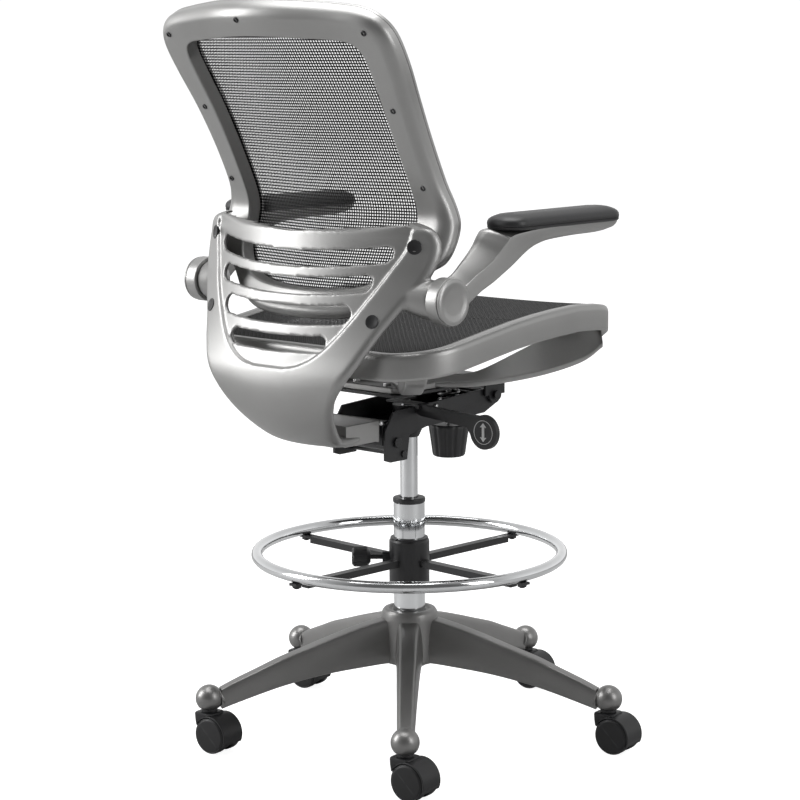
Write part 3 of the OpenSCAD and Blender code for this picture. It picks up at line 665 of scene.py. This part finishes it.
def rounded_strip(s, direction, a, b, thick, round_a, round_b, steps=12):
    """Closed cross-section of the wall from x = a to x = b with rounded edges."""
    rear, front = [], []
    for k in range(steps + 1):
        x = mix(a, b, 0.5 - 0.5 * math.cos(math.pi * k / steps))
        drop = 0.0
        for edge, r in ((a, round_a), (b, round_b)):
            gap = abs(x - edge)
            if gap < r:
                drop = max(drop, r - math.sqrt(r * r - (r - gap) ** 2))
        drop = min(drop, thick * 0.48)
        rear.append(wall_point(s, direction, x, drop))
        front.append(wall_point(s, direction, x, thick - drop * 0.6))
    return rear + front[::-1]


def support():
    """Side members, bowl, arm stubs and ribbed panel, melted into one skin."""
    fine = smooth_line(SPINE, 14)
    along = []
    for i, s in enumerate(fine):
        p, q = fine[max(i - 1, 0)], fine[min(i + 1, len(fine) - 1)]
        d = np.array([q[0] - p[0], q[1] - p[1]])
        d /= np.linalg.norm(d)
        along.append(np.array([0, d[1], -d[0]]))
    parts = []
    for side in (-1, 1):
        rings = []
        for s, direction in zip(fine, along):
            if s[1] > 0.629:
                inner = min(lookup(s[1], PANEL_HALF), s[2] - 0.012)
                rings.append(rounded_strip(s, direction, side * inner, side * s[2], WALL, 0.003, 0.008))
        parts.append(loft(rings))
    rings = [rounded_strip(s, d, -s[2], s[2], WALL, 0.009, 0.009, 24)
             for s, d in zip(fine, along) if s[1] < 0.631]
    parts.append(loft(rings))
    for side in (-1, 1):
        parts.append(loft([[(side * x, y + r * math.cos(2 * math.pi * k / 32),
                             z + r * math.sin(2 * math.pi * k / 32)) for k in range(32)]
                           for x, y, z, r in STUB]))
    parts.append(rib_panel())
    piece = make("back_support_skin", *joined(*parts), SILVER)
    modify(piece, "REMESH", mode="VOXEL", voxel_size=0.0023, use_smooth_shade=True)
    modify(piece, "SMOOTH", factor=0.5, iterations=4)
    apply_all(piece)
    set_up(piece, "back", "silver_paint", "yoke", "yoke_bowl")


def support_bar():
    """Rectangular bar at the foot of the support, with crisp edges and an open front end."""
    outside = rounded_rectangle(-.0499, .0499, .4972, .5298, .0022, 3)
    inside = rounded_rectangle(-.0384, .0384, .5026, .5244, .0012, 3)
    middle = .5135
    rings = []
    for shape, y, grow in ((inside, .190, 0), (inside, .126, 0), (inside, .1245, .0008),
                           (outside, .1245, -.0010), (outside, .1255, 0), (outside, .197, 0)):
        rings.append([(x + math.copysign(grow, x), y, z + math.copysign(grow, z - middle))
                      for x, z in shape])
    piece = make("back_support_bar", *loft(rings), SILVER)
    set_up(sharpen(piece, 30), "back", "silver_paint", "yoke_bowl")


def rib_panel():
    """Thin curved panel with four round-ended slots, set into the support."""
    half_edge = [(0, .624)] + [(x + 0.006, z) for z, x in PANEL_HALF[1:-1]]
    half_edge += [(.205, .838), (.19, .842), (0, .8285)]
    loops = [[(p[0], p[1]) for p in both_halves(half_edge)]]
    for low, high, half in SLOTS:
        r = (high - low) / 2
        loop = (arc(half - r, low + r, r, r, -90, 90, 8) + arc(-half + r, low + r, r, r, 90, 270, 8))
        dense = []
        for p, q in zip(loop, loop[1:] + loop[:1]):
            count = max(1, round(abs(q[0] - p[0]) / 0.012))
            dense += [(mix(p[0], q[0], k / count), mix(p[1], q[1], k / count)) for k in range(count)]
        loops.append([(x, z + SMILE * (x / 0.2) ** 2) for x, z in dense])
    points, edges = [], []
    for loop in loops:
        base = len(points)
        points += [Vector(p) for p in loop]
        edges += [(base + k, base + (k + 1) % len(loop)) for k in range(len(loop))]

    def solid(x, z):
        return inside_outline(x, z, loops[0]) and not any(inside_outline(x, z, slot) for slot in loops[1:])

    points += [Vector((x, z)) for x in np.arange(-.2, .201, .01) for z in np.arange(.63, .84, .01)
               if solid(x, z)]
    flat, _, cells = delaunay_2d_cdt(points, edges, [], 0, 1e-6)[:3]
    keep = []
    for cell in cells:
        centre = sum((flat[i] for i in cell), Vector((0, 0))) / len(cell)
        if solid(*centre):
            keep.append(tuple(cell))
    rear, front = [], []
    for x, z in flat:
        s = spine_at(min(z, .829))
        u = min(abs(x) / s[2], 1.0)
        y = s[0] - s[3] * u * u - PANEL_DEPTH
        rear.append((x, y, z))
        front.append((x, y - PANEL_THICK, z))
    n = len(rear)
    sides = {(a, b): True for cell in keep for a, b in zip(cell, cell[1:] + cell[:1])}
    faces = keep + [tuple(i + n for i in reversed(cell)) for cell in keep]
    faces += [(b, a, a + n, b + n) for a, b in sides if (b, a) not in sides]
    return rear + front, faces


def support_point(x, z):
    """Point on the rear face of the support at a height."""
    s = spine_at(z)
    u = min(abs(x) / s[2], 1.0)
    return Vector((x, s[0] - s[3] * u * u, z + s[4] * u * u))


def bolt_plugs():
    """Dark plugs over the four bolts of the support, each slightly dished, in its own rim."""
    for side in (-1, 1):
        word = "left" if side > 0 else "right"
        for k, (x, z, r) in enumerate(((.2075, .808, .0112), (.1685, .705, .0102))):
            part = turned([(.0003, .0002), (r * .55, .0004), (r * .80, .0012), (r * .93, .0012),
                           (r, .0004), (r, -.010)], 48)
            place = support_point(side * x, z)
            du = support_point(side * x + .004, z) - support_point(side * x - .004, z)
            dv = support_point(side * x, z + .004) - support_point(side * x, z - .004)
            out = dv.cross(du).normalized()
            out = out if out.y > 0 else -out
            turn = Matrix.Translation(place) @ out.to_track_quat("Z", "Y").to_matrix().to_4x4()
            piece = make(f"support_plug_{word}_{k + 1}", *moved(part, turn), BLACK)
            set_up(sharpen(piece), "back", "black_plastic", "yoke_bolts")


# ---------- arms ----------

# Arm from its hub to the front of the pad: lower and upper edge as (behind the column, height), x range,
# and how far its section has turned from LINK to TRAY
ARM = [((.196, .708), (.212, .756), .2405, .2622, 0), ((.180, .716), (.196, .763), .2405, .2624, 0),
       ((.160, .729), (.176, .772), .2408, .2650, 0), ((.140, .744), (.160, .785), .2410, .2700, 0),
       ((.120, .757), (.144, .799), .2412, .2780, 0), ((.103, .769), (.131, .812), .2415, .2850, .08),
       ((.086, .781), (.122, .825), .2420, .2920, .22), ((.068, .794), (.112, .8332), .2430, .2985, .38),
       ((.050, .803), (.085, .8338), .2435, .3020, .56), ((.030, .8085), (.056, .8338), .2440, .3040, .74),
       ((.005, .812), (.020, .8338), .2445, .3055, .88), ((-.050, .8145), (-.045, .8338), .2450, .3060, 1),
       ((-.105, .8155), (-.105, .8338), .2460, .3055, 1), ((-.138, .8190), (-.139, .8338), .2520, .3010, 1),
       ((-.156, .8255), (-.156, .8338), .2620, .2910, 1)]
LINK = [(.10, .0), (.5, .0), (.90, .0), (1, .07), (1, .34), (1, .60), (.97, .64), (.62, .83), (.30, .97),
        (.22, 1), (.10, 1), (.02, .95), (0, .88), (0, .5), (0, .12), (.03, .04)]
TRAY = [(.22, .10), (.45, .0), (.70, .06), (.88, .28), (.97, .55), (1, .80), (1, 1), (.8, 1), (.6, 1),
        (.4, 1), (.2, 1), (.02, 1), (0, .85), (.02, .62), (.07, .38), (.13, .22)]


def pivot_turn(side):
    """From the Z axis to an arm's pivot, pointing outward."""
    return Matrix.Translation((0, PIVOT_Y, PIVOT_Z)) @ Matrix.Rotation(math.radians(side * 90), 4, "Y")


def arm(side, node):
    """Link that rises from the hub and turns into the tray under the pad."""
    stations = smooth_line([(*low, *high, a, b, t) for low, high, a, b, t in ARM], 5)
    rings = []
    for ly, lz, uy, uz, x0, x1, t in stations:
        ring = []
        for p, q in zip(LINK, TRAY):
            a, b = mix(p[0], q[0], t), mix(p[1], q[1], t)
            ring.append((side * mix(x0, x1, a), mix(ly, uy, b), mix(lz, uz, b)))
        rings.append(ring)
    hub = turned([(.0092, .2402), (.0325, .2402), (.0345, .2415), (.035, .2435), (.035, .2595),
                  (.0345, .2615), (.0325, .2625), (.0092, .2625)], 64)
    piece = make(f"{node}_skin", *joined(loft(rings), moved(hub, pivot_turn(side))), SILVER)
    set_up(sharpen(piece, 28), BODY_OF[node], "silver_paint", node)


def arm_cap(side, name):
    """Round cover at the end of an arm's pivot: shallow dished disc in a raised rim."""
    profile = [(.0005, .2650), (.018, .2653), (.0225, .2658), (.0255, .2672), (.0285, .2679),
               (.0315, .2675), (.0338, .2660), (.0343, .2640), (.0343, .2632)]
    piece = make(name, *moved(turned(profile, 72), pivot_turn(side)), SILVER)
    set_up(sharpen(piece, 40), "back", "silver_paint", "arm_caps")


# Section of an arm pad, upward: (share of its height, how far the side is drawn in)
PAD_LEVELS = [(.0, .010), (.02, .004), (.06, .0015), (.13, .0005), (.20, .0003), (.225, .0012),
              (.25, .0004), (.40, 0), (.55, .0006), (.68, .0025), (.79, .0058), (.88, .0102),
              (.945, .0155), (.98, .021), (1.0, .028)]


def arm_pad(node):
    """Crowned soft pad: long rounded plan, fat rounded shoulder, seam line low on its side."""
    low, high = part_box(node)
    cx, cy = (low.x + high.x) / 2, (low.y + high.y) / 2
    hx, hy = (high.x - low.x) / 2 - .0005, (high.y - low.y) / 2 - .0005
    rings = []
    for share, inset in PAD_LEVELS:
        z = mix(low.z, high.z, share)
        r = max(.030 - inset * 0.6, .004)
        ring = []
        for px, py, a in ((hx - inset - r, hy - inset - r, 0), (-hx + inset + r, hy - inset - r, 90),
                          (-hx + inset + r, -hy + inset + r, 180), (hx - inset - r, -hy + inset + r, 270)):
            for q in arc(px, py, r, r, a, a + 90, 10):
                swell = 0.0015 * math.sin(math.pi * (q[1] + hy) / (2 * hy)) if share > 0.9 else 0
                ring.append((cx + q[0], cy + q[1], z - 0.0016 + swell))
        rings.append(ring)
    piece = make(f"{node}_skin", *loft(rings), FOAM)
    set_up(sharpen(piece, 60), BODY_OF[node], "arm_foam", node)


# ---------- seat ----------

# Height of the rim's top along the seat, front to rear
RIM_TOP = [(-.242, .668), (-.228, .682), (-.205, .692), (-.176, .697), (-.143, .700), (-.068, .698),
           (.028, .689), (.121, .675), (.188, .665), (.253, .656)]
SEAT_HALF, SEAT_FRONT, SEAT_REAR = .250, -.240, .250
FRONT_CORNER, REAR_CORNER = .075, .095
# Section of the rim: (share of the way from outer to inner edge, depth below its top)
RIM_PROFILE = [(.5, .036), (.10, .041), (.02, .0395), (0, .036), (0, .022), (.0, .010), (.03, .0055),
               (.10, .0022), (.24, .0004), (.5, 0), (.72, .0004), (.80, .0024), (.86, .0026),
               (.92, .0010), (1, .0030), (1, .028), (.94, .031)]


def rim_top(y):
    return lookup(y, RIM_TOP)


def seat_outline(d):
    """Plan of the seat, drawn in by d."""
    f, r = FRONT_CORNER, REAR_CORNER
    half = [(0, SEAT_FRONT + d), (.045, SEAT_FRONT + d), (.09, SEAT_FRONT + d), (.135, SEAT_FRONT + d)]
    half += arc(SEAT_HALF - f, SEAT_FRONT + f, f - d, f - d, -90, 0, 14)
    half += [(SEAT_HALF - d, y) for y in (-.12, -.07, -.02, .03, .08, .12)]
    half += arc(SEAT_HALF - r, SEAT_REAR - r, r - d, r - d, 0, 90, 14)
    half += [(.10, SEAT_REAR - d), (.05, SEAT_REAR - d), (0, SEAT_REAR - d)]
    return both_halves(half)


def seat_rim():
    """Deep band round the seat with a groove for the weave near its inner edge."""
    rings = [[(mix(o[0], i[0], s), mix(o[1], i[1], s), rim_top(o[1]) - d) for s, d in RIM_PROFILE]
             for o, i in zip(seat_outline(0), seat_outline(.024))]
    piece = make("seat_rim_skin", *loft(rings, closed=True), SILVER)
    set_up(sharpen(piece, 45), "seat", "silver_paint", "seat_rim")


SEAT_PITCH = 0.0044
SEAT_INSET = .018


def seat_mesh():
    """Weave of the seat, sagging a little between its edges."""
    edge = seat_outline(SEAT_INSET)
    half, y0, y1 = SEAT_HALF - SEAT_INSET, SEAT_FRONT + SEAT_INSET, SEAT_REAR - SEAT_INSET
    columns, rows = round(2 * half / SEAT_PITCH), round((y1 - y0) / SEAT_PITCH)

    def surface(u, v):
        x, y = mix(-half, half, u), mix(y0, y1, v)
        sag = .009 * (1 - (x / half) ** 2) * (1 - ((y - .005) / .245) ** 4)
        fall = .010 * max(0, (-.165 - y) / .057) ** 2
        return Vector((x, y, rim_top(y + .02 * (y < 0)) - .0035 - sag - fall * .3))

    def inside(u, v):
        return inside_outline(mix(-half, half, u), mix(y0, y1, v), edge)

    piece = lattice("seat_mesh_weave", SEAT_YARN, surface, columns, rows, .0029, .0008, inside)
    set_up(piece, "seat", "seat_fabric", "seat_mesh")


# Arms of the cross frame for one side, outward: (x, y, height of the middle, depth of the section)
FRONT_ARM = [(.020, .020, .5755, .015), (.060, -.010, .577, .016), (.105, -.050, .581, .020),
             (.160, -.120, .607, .047), (.203, -.178, .632, .056), (.226, -.203, .646, .038)]
REAR_ARM = [(.020, .040, .5755, .015), (.060, .070, .577, .016), (.105, .112, .583, .018),
            (.160, .170, .598, .022), (.200, .208, .618, .026), (.212, .219, .632, .028)]


def bar(tall):
    """Section of a rear arm: a rounded bar that narrows toward its underside."""
    return [(a * (1 - 0.22 * (0.5 - b / tall)), b)
            for a, b in rounded_rectangle(-.0205, .0205, -tall / 2, tall / 2, .005, 4)]


def blade(tall):
    """Section of a front arm: an upright lip outside and a face that slopes up and inward."""
    low, high = -tall / 2, tall / 2
    lip = low + min(.010, 0.6 * tall)
    return [(.0175, low), (.0195, low + .0008), (.0205, low + .003), (.0205, lip - .003),
            (.0198, lip - .0012), (.0180, lip), (-.0130, high - .001), (-.0150, high),
            (-.0180, high - .0006), (-.0195, high - .003), (-.0190, low + .004), (-.0175, low + .001),
            (-.0150, low)]


def seat_cross_frame():
    """Centre plate and four arms that sweep out to the corners of the rim."""
    parts = []
    for side in (-1, 1):
        for line in (FRONT_ARM, REAR_ARM):
            rings = []
            points = smooth_line(line, 6)
            for k, (x, y, z, tall) in enumerate(points):
                p, q = points[max(k - 1, 0)], points[min(k + 1, len(points) - 1)]
                d = np.array([q[0] - p[0], q[1] - p[1]])
                d /= np.linalg.norm(d)
                across = np.array([-d[1], d[0]])
                ring = []
                for a, b in blade(tall) if line is FRONT_ARM else bar(tall):
                    ring.append((side * (x + across[0] * a), y + across[1] * a, z + b))
                rings.append(ring)
            parts.append(loft(rings))
    plate = [[(x, y, z) for x, y in rounded_rectangle(-.066 + i, .066 - i, -.060 + i, .100 - i, .014, 6)]
             for i, z in ((.001, .5682), (0, .5692), (0, .5765), (.0018, .5782))]
    parts.append(loft(plate))
    piece = make("seat_cross_frame_skin", *joined(*parts), SILVER)
    set_up(sharpen(piece, 40), "seat", "silver_paint", "seat_cross_frame")


# ---------- base and casters ----------

# Leg from the hub outward: (radius, underside, top, half width)
LEG = [(.030, .119, .192, .0225), (.047, .119, .189, .0215), (.085, .1155, .180, .0195),
       (.128, .111, .167, .0180), (.170, .1045, .153, .0168), (.213, .0955, .139, .0155),
       (.250, .0855, .124, .0145), (.285, .075, .110, .0135), (.312, .0665, .098, .0125)]
# Half of its section: (share of the half width, share of the height)
LEG_SECTION = [(.80, .0), (.92, .03), (.98, .10), (1.0, .24), (.98, .45), (.93, .66), (.86, .82),
               (.79, .91), (.73, .955), (.66, .982), (.58, .994), (.50, .9985), (.28, 1.0), (.10, 1.0)]
# Direction of leg 1 in degrees from +X, and the distance of the caster stems from the column
FIRST_LEG = 130.7
STEM_RADIUS = .330
BALL_RADIUS, BALL_HEIGHT = .0215, .083


def leg_angle(i):
    return math.radians(FIRST_LEG + 72 * (i - 1))


def star_base():
    """Hub and five legs that fall to ball ends over the casters."""
    parts = []
    for i in CASTERS:
        turn = Matrix.Rotation(leg_angle(i), 4, "Z")
        rings = []
        for r, low, high, half in smooth_line(LEG, 5):
            sec = [(half * s, mix(low, high, t)) for s, t in LEG_SECTION]
            ring = sec + [(-a, b) for a, b in sec[::-1]]
            rings.append([turn @ Vector((r, a, b)) for a, b in ring])
        parts.append(loft(rings))
        ball = [(BALL_RADIUS * math.sin(a) + 1e-4, -BALL_RADIUS * math.cos(a))
                for a in np.linspace(math.radians(45.8), math.pi, 24)]
        ball = [(.0128, -.0151), (.0140, -.0152), (.0150, -.0149)] + ball[1:]
        parts.append(moved(turned(ball, 40), turn @ Matrix.Translation((STEM_RADIUS, 0, BALL_HEIGHT))))
        collar = turned([(.0115, -.002), (.0148, -.0015), (.0152, 0), (.0148, .0015), (.0115, .002)], 32)
        tilt = turn @ Matrix.Translation((.3105, 0, .0835)) @ Matrix.Rotation(math.radians(113), 4, "Y")
        parts.append(moved(collar, tilt))
    hub = [(.0252, .119), (.036, .118), (.0425, .1185), (.0448, .121), (.0455, .126), (.0452, .150),
           (.0455, .188), (.0452, .195), (.0438, .2005), (.041, .2040), (.0375, .2050), (.0340, .2046),
           (.0325, .2020), (.0300, .2012), (.0278, .2022), (.0268, .2020), (.0252, .2000)]
    parts.append(turned_hollow(hub, 72))
    piece = make("star_base_skin", *joined(*parts), BASE_GREY)
    set_up(sharpen(piece, 24), "base", "base_paint", "star_base")


WHEEL_R, WHEEL_W = .0289, .0168
# The axle trails the stem, and each wheel starts half a gap from the middle
TRAIL, HALF_GAP, AXLE_HEIGHT = .017, .0065, .029
# All casters trail the same way: degrees from +X
HEADING = 186
# Inner radius of the guard about the axle
GUARD_INSIDE = .0297
# Neck of the hood, upward: (front, rear, half width, height, corner radius)
NECK = [(-.0155, .012, .0150, .0395, .004), (-.0168, .0165, .0165, .0410, .005),
        (-.0178, .0175, .0174, .0500, .0055), (-.0182, .0178, .0178, .0590, .0055),
        (-.0178, .0174, .0174, .0612, .0055), (-.0165, .0161, .0161, .0622, .005),
        (-.0145, .0141, .0141, .0624, .004)]


def wheel_profile(r, w):
    """Wheel from its inner face to its flat outer face, with a soft tyre edge."""
    return [(.0045, .0012), (r * .55, .0004), (r - .0035, 0), (r - .0012, .0008), (r - .0001, .0028),
            (r, .005), (r, w - .0048), (r - .0003, w - .0030), (r - .0011, w - .0015),
            (r - .0022, w - .0007), (r - .0028, w - .0010), (r - .0034, w - .0005),
            (r - .0045, w - .0001), (r - .0060, w), (r * .5, w + .0002), (.0005, w + .0003)]


def caster_guard(axle):
    """Curved cover over the tops of the wheels, thinner at its ends and edges."""
    rings = []
    steps = 34
    for k in range(steps + 1):
        a = math.radians(mix(-25, 148, k / steps))
        thick = .0028 * min(1, .5 + min(k, steps - k) * .2)
        ring = []
        for across, out in rounded_rectangle(-.0224, .0224, GUARD_INSIDE, GUARD_INSIDE + thick, .0012, 4):
            edge = max(0, (abs(across) - .0165) / .0059) ** 2
            lift = max(out - (.0022 * edge if out > .0312 else 0), .0295)
            ring.append(axle @ Vector((lift * math.cos(a), across, lift * math.sin(a))))
        rings.append(ring)
    return loft(rings)


def casters():
    """Twin wheels and a hood with its web, guard, neck and collar, five times."""
    for i in CASTERS:
        stem = Matrix.Rotation(leg_angle(i), 4, "Z") @ Vector((STEM_RADIUS, 0, 0))
        here = Matrix.Translation(stem) @ Matrix.Rotation(math.radians(HEADING), 4, "Z")
        axle = here @ Matrix.Translation((TRAIL, 0, AXLE_HEIGHT))
        for side, word in ((1, "left"), (-1, "right")):
            node = f"caster_wheel_{word}_{i}"
            part = moved(turned(wheel_profile(WHEEL_R, WHEEL_W), 72),
                         axle @ Matrix.Translation((0, side * HALF_GAP, 0))
                         @ Matrix.Rotation(math.radians(-90 * side), 4, "X"))
            piece = make(f"{node}_skin", *part, TREAD)
            set_up(sharpen(piece, 40), f"wheel_{word}_{i}", "caster_tread", node)
        web = turned([(.0046, -.0052), (.0250, -.0052), (.0258, -.0045), (.0258, .0045), (.0250, .0052),
                      (.0046, .0052)], 48)
        neck = [[here @ Vector((x, y, z)) for x, y in rounded_rectangle(x0, x1, -wide, wide, r, 5)]
                for x0, x1, wide, z, r in NECK]
        collar = turned([(.0100, -.0055), (.0125, -.0050), (.0125, -.0008), (.0118, 0), (.0060, 0)], 40)
        parts = (moved(web, axle @ Matrix.Rotation(math.radians(90), 4, "X")), caster_guard(axle),
                 notched(neck, axle), moved(collar, here @ Matrix.Translation((0, 0, .0678))))
        piece = make(f"caster_hood_{i}_skin", *joined(*parts), CASTER)
        set_up(sharpen(piece, 35), f"caster_{i}", "caster_plastic", f"caster_hood_{i}")


def notched(rings, axle):
    """Neck of a caster, its lower part pushed clear of the two wheels and the guard's inside."""
    inverse = axle.inverted()
    clear = []
    for ring in rings:
        row = []
        for p in ring:
            q = inverse @ p
            r = math.hypot(q.x, q.z)
            if abs(q.y) > .0052 and r < GUARD_INSIDE:
                q = Vector((q.x * GUARD_INSIDE / r, q.y, q.z * GUARD_INSIDE / r))
            row.append(axle @ q)
        clear.append(row)
    return loft(clear)


# ---------- foot ring and column ----------

def foot_ring():
    """Chrome tube bent into a circle."""
    low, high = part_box("ring_tube")
    tube = (high.z - low.z) / 2
    radius = high.x - tube
    z = (low.z + high.z) / 2
    around, about = 160, 32
    verts = [((radius + tube * math.cos(b)) * math.cos(a), (radius + tube * math.cos(b)) * math.sin(a),
              z + tube * math.sin(b)) for a in np.arange(around) * 2 * math.pi / around
             for b in np.arange(about) * 2 * math.pi / about]
    faces = [(i * about + j, (i + 1) % around * about + j, (i + 1) % around * about + (j + 1) % about,
              i * about + (j + 1) % about) for i in range(around) for j in range(about)]
    set_up(make("ring_tube_skin", verts, faces, CHROME), "foot_ring", "chrome", "ring_tube")


def column():
    """Chrome outer tube, its black guide bush, and the chrome cylinder that slides in it."""
    tube = [(.0225, .110), (.0246, .110), (.025, .1104), (.025, .3772), (.0245, .3778), (.0232, .3778),
            (.0227, .3775), (.0225, .3765)]
    bush = [(.0146, .300), (.0222, .300), (.0222, .3779), (.0252, .3780), (.0259, .3787), (.0260, .3830),
            (.0256, .3846), (.0246, .3855), (.0200, .3860), (.0160, .3860), (.0149, .3856), (.0146, .3846)]
    rod = [(.0116, .226), (.0136, .226), (.0140, .2264), (.0140, .537), (.0136, .5374), (.0040, .5374),
           (.0040, .521), (.0116, .518)]
    for node, profile, body, slot in (("column_tube", tube, "base", "chrome"),
                                      ("column_bush", bush, "base", "black_plastic"),
                                      ("gas_cylinder", rod, "mechanism", "chrome")):
        piece = make(f"{node}_skin", *turned_hollow(profile), BY_SLOT[slot])
        set_up(sharpen(piece, 30), body, slot, node)


def tension_knob():
    """Tapered hand knob with twelve shallow flutes and a rounded rim."""
    low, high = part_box("tension_knob")
    cy = (low.y + high.y) / 2
    levels = [(0, .0230, 0), (.0008, .0250, .2), (.0026, .0262, .7), (.006, .0270, 1), (.020, .0288, 1),
              (.034, .0308, 1), (.045, .0325, 1), (.0490, .0328, .7), (.0515, .0321, .35), (.0530, .0298, 0)]
    count = 12 * 10
    rings = []
    for up, r, deep in levels:
        ring = []
        for k in range(count):
            a = 2 * math.pi * k / count
            flute = max(0.0, math.cos(12 * a)) ** 1.5
            q = r * (1 - .075 * deep * flute)
            ring.append((q * math.cos(a), cy + q * math.sin(a), low.z + up))
        rings.append(ring)
    piece = make("tension_knob_skin", *loft(rings), BLACK)
    set_up(sharpen(piece, 50), BODY_OF["tension_knob"], "black_plastic", "tension_knob")


def lever_mark():
    """Plain double arrow in a ring, inlaid in the paddle of the height lever."""
    at_x, at_y, at_z = -.193, .0461, .517
    half = [(0, .0145), (.0062, .0078), (.0026, .0078), (.0026, -.0078), (.0062, -.0078), (0, -.0145)]
    outline = half + [(-x, z) for x, z in half[-2:0:-1]]
    rings = [[(at_x + x * s, at_y + y, at_z + z * s) for x, z in outline]
             for s, y in ((1, -.0003), (1, .0001), (.97, .0003))]
    piece = make("height_lever_mark", *loft(rings), ICON, smooth=False)
    set_up(piece, BODY_OF["height_lever"], "black_plastic")
    outer = arc(0, 0, .0185, .0185, 0, 360, 64)[:-1]
    inner = arc(0, 0, .0176, .0176, 0, 360, 64)[:-1]
    rings = [[(at_x + p[0], at_y + y, at_z + p[1]) for p, y in
              ((o, -.0003), (o, .0001), (i, .0001), (i, -.0003))] for o, i in zip(outer, inner)]
    piece = make("height_lever_ring", *loft(rings, closed=True), ICON)
    set_up(piece, BODY_OF["height_lever"], "black_plastic")


# Screws of the back frame, one half: (x, height)
SCREWS = [(0, 1.135), (.200, 1.115), (.1945, 1.006), (.199, .894)]


def frame_screws():
    """Black socket screws in the rear face of the back frame."""
    profile = [(.0003, -.0006), (.0018, -.0006), (.0020, .0012), (.0030, .0016), (.0038, .0014),
               (.0044, .0008), (.0046, .0002), (.0046, -.006)]
    parts = []
    for x, z in SCREWS:
        for side in ((1,) if x == 0 else (-1, 1)):
            turn = Matrix.Translation(back_at(side * x, z, 0)) \
                @ Matrix.Rotation(math.radians(-90 - lean(z)), 4, "X")
            parts.append(moved(turned(profile, 24), turn))
    piece = make("frame_screws_skin", *joined(*parts), BLACK)
    set_up(sharpen(piece, 40), "back", "black_plastic", "frame_screws")


def under_bar_bolts():
    """Hexagon heads of the two bolts that hold the bracket in the bar."""
    parts = []
    for x in (-.022, .022):
        head = turned([(.0006, -.0052), (.0046, -.0052), (.0064, -.0046), (.0070, -.0036), (.0070, 0)], 6)
        washer = turned([(.0006, -.0008), (.0086, -.0008), (.0090, -.0005), (.0090, 0)], 40)
        place = Matrix.Translation((x, .150, .4965))
        parts += [moved(head, place), moved(washer, place)]
    piece = make("under_bar_bolts", *joined(*parts), ZINC)
    set_up(sharpen(piece, 30), "back", "zinc_steel")


def softened(node, slot, width, material):
    """A copy of a CAD node with rounded edges, which stands for it."""
    mesh = frame["nodes"][node].data.copy()
    piece = bpy.data.objects.new(f"{node}_skin", mesh)
    bpy.context.scene.collection.objects.link(piece)
    bm = bmesh.new()
    bm.from_mesh(mesh)
    bmesh.ops.remove_doubles(bm, verts=bm.verts, dist=1e-5)
    bmesh.ops.dissolve_limit(bm, angle_limit=math.radians(1.0), verts=bm.verts, edges=bm.edges)
    bm.to_mesh(mesh)
    bm.free()
    mesh.materials.clear()
    mesh.materials.append(material)
    modify(piece, "BEVEL", width=width, segments=2, limit_method="ANGLE",
           angle_limit=math.radians(32), use_clamp_overlap=True)
    apply_all(piece)
    for face in piece.data.polygons:
        face.use_smooth = True
    set_up(sharpen(piece, 50), BODY_OF[node], slot, node)


def rounded_cad_parts():
    """Pressed, moulded and machined parts that keep their CAD shape and get rounded edges."""
    for node, width in (("mechanism_housing", .0030), ("seat_plate", .0009), ("back_bracket", .0022),
                        ("ring_hub", .0010), ("ring_bush", .0006), ("ring_nuts", .0006),
                        ("clamp_knob", .0012), ("height_lever", .0016), ("tilt_lock_lever", .0014),
                        ("mechanism_axles", .0007), ("seat_bolts", .0006), ("caster_stems", .0005)):
        slot = next(p for p in frame["record"]["subparts"] if p["node"] == node)["material_slot"]
        softened(node, slot, width, STEEL_BLACK if node == "mechanism_axles" else BY_SLOT[slot])


def pan_rivets():
    """Small bright rivet heads in both sides of the pressed pan."""
    head = [(.0003, .0016), (.0022, .0013), (.0034, .0006), (.0038, -.0004), (.0038, -.0014)]
    parts = []
    for side in (-1, 1):
        for y, z in ((0, .538), (.128, .527)):
            outward = Matrix.Rotation(math.radians(90 * side), 4, "Y")
            parts.append(moved(turned(head, 24), Matrix.Translation((side * .0590, y, z)) @ outward))
    piece = make("pan_rivets", *joined(*parts), ZINC)
    set_up(sharpen(piece, 40), "mechanism", "zinc_steel")


paint_cad_nodes()
camera()
floor()
light()
back_frame()
back_mesh()
support()
support_bar()
bolt_plugs()
under_bar_bolts()
frame_screws()
for sign, word in ((1, "left"), (-1, "right")):
    arm(sign, f"arm_{word}")
    arm_cap(sign, f"arm_cap_{word}")
    arm_pad(f"arm_pad_{word}")
seat_rim()
seat_mesh()
seat_cross_frame()
star_base()
casters()
column()
foot_ring()
tension_knob()
lever_mark()
rounded_cad_parts()
pan_rivets()
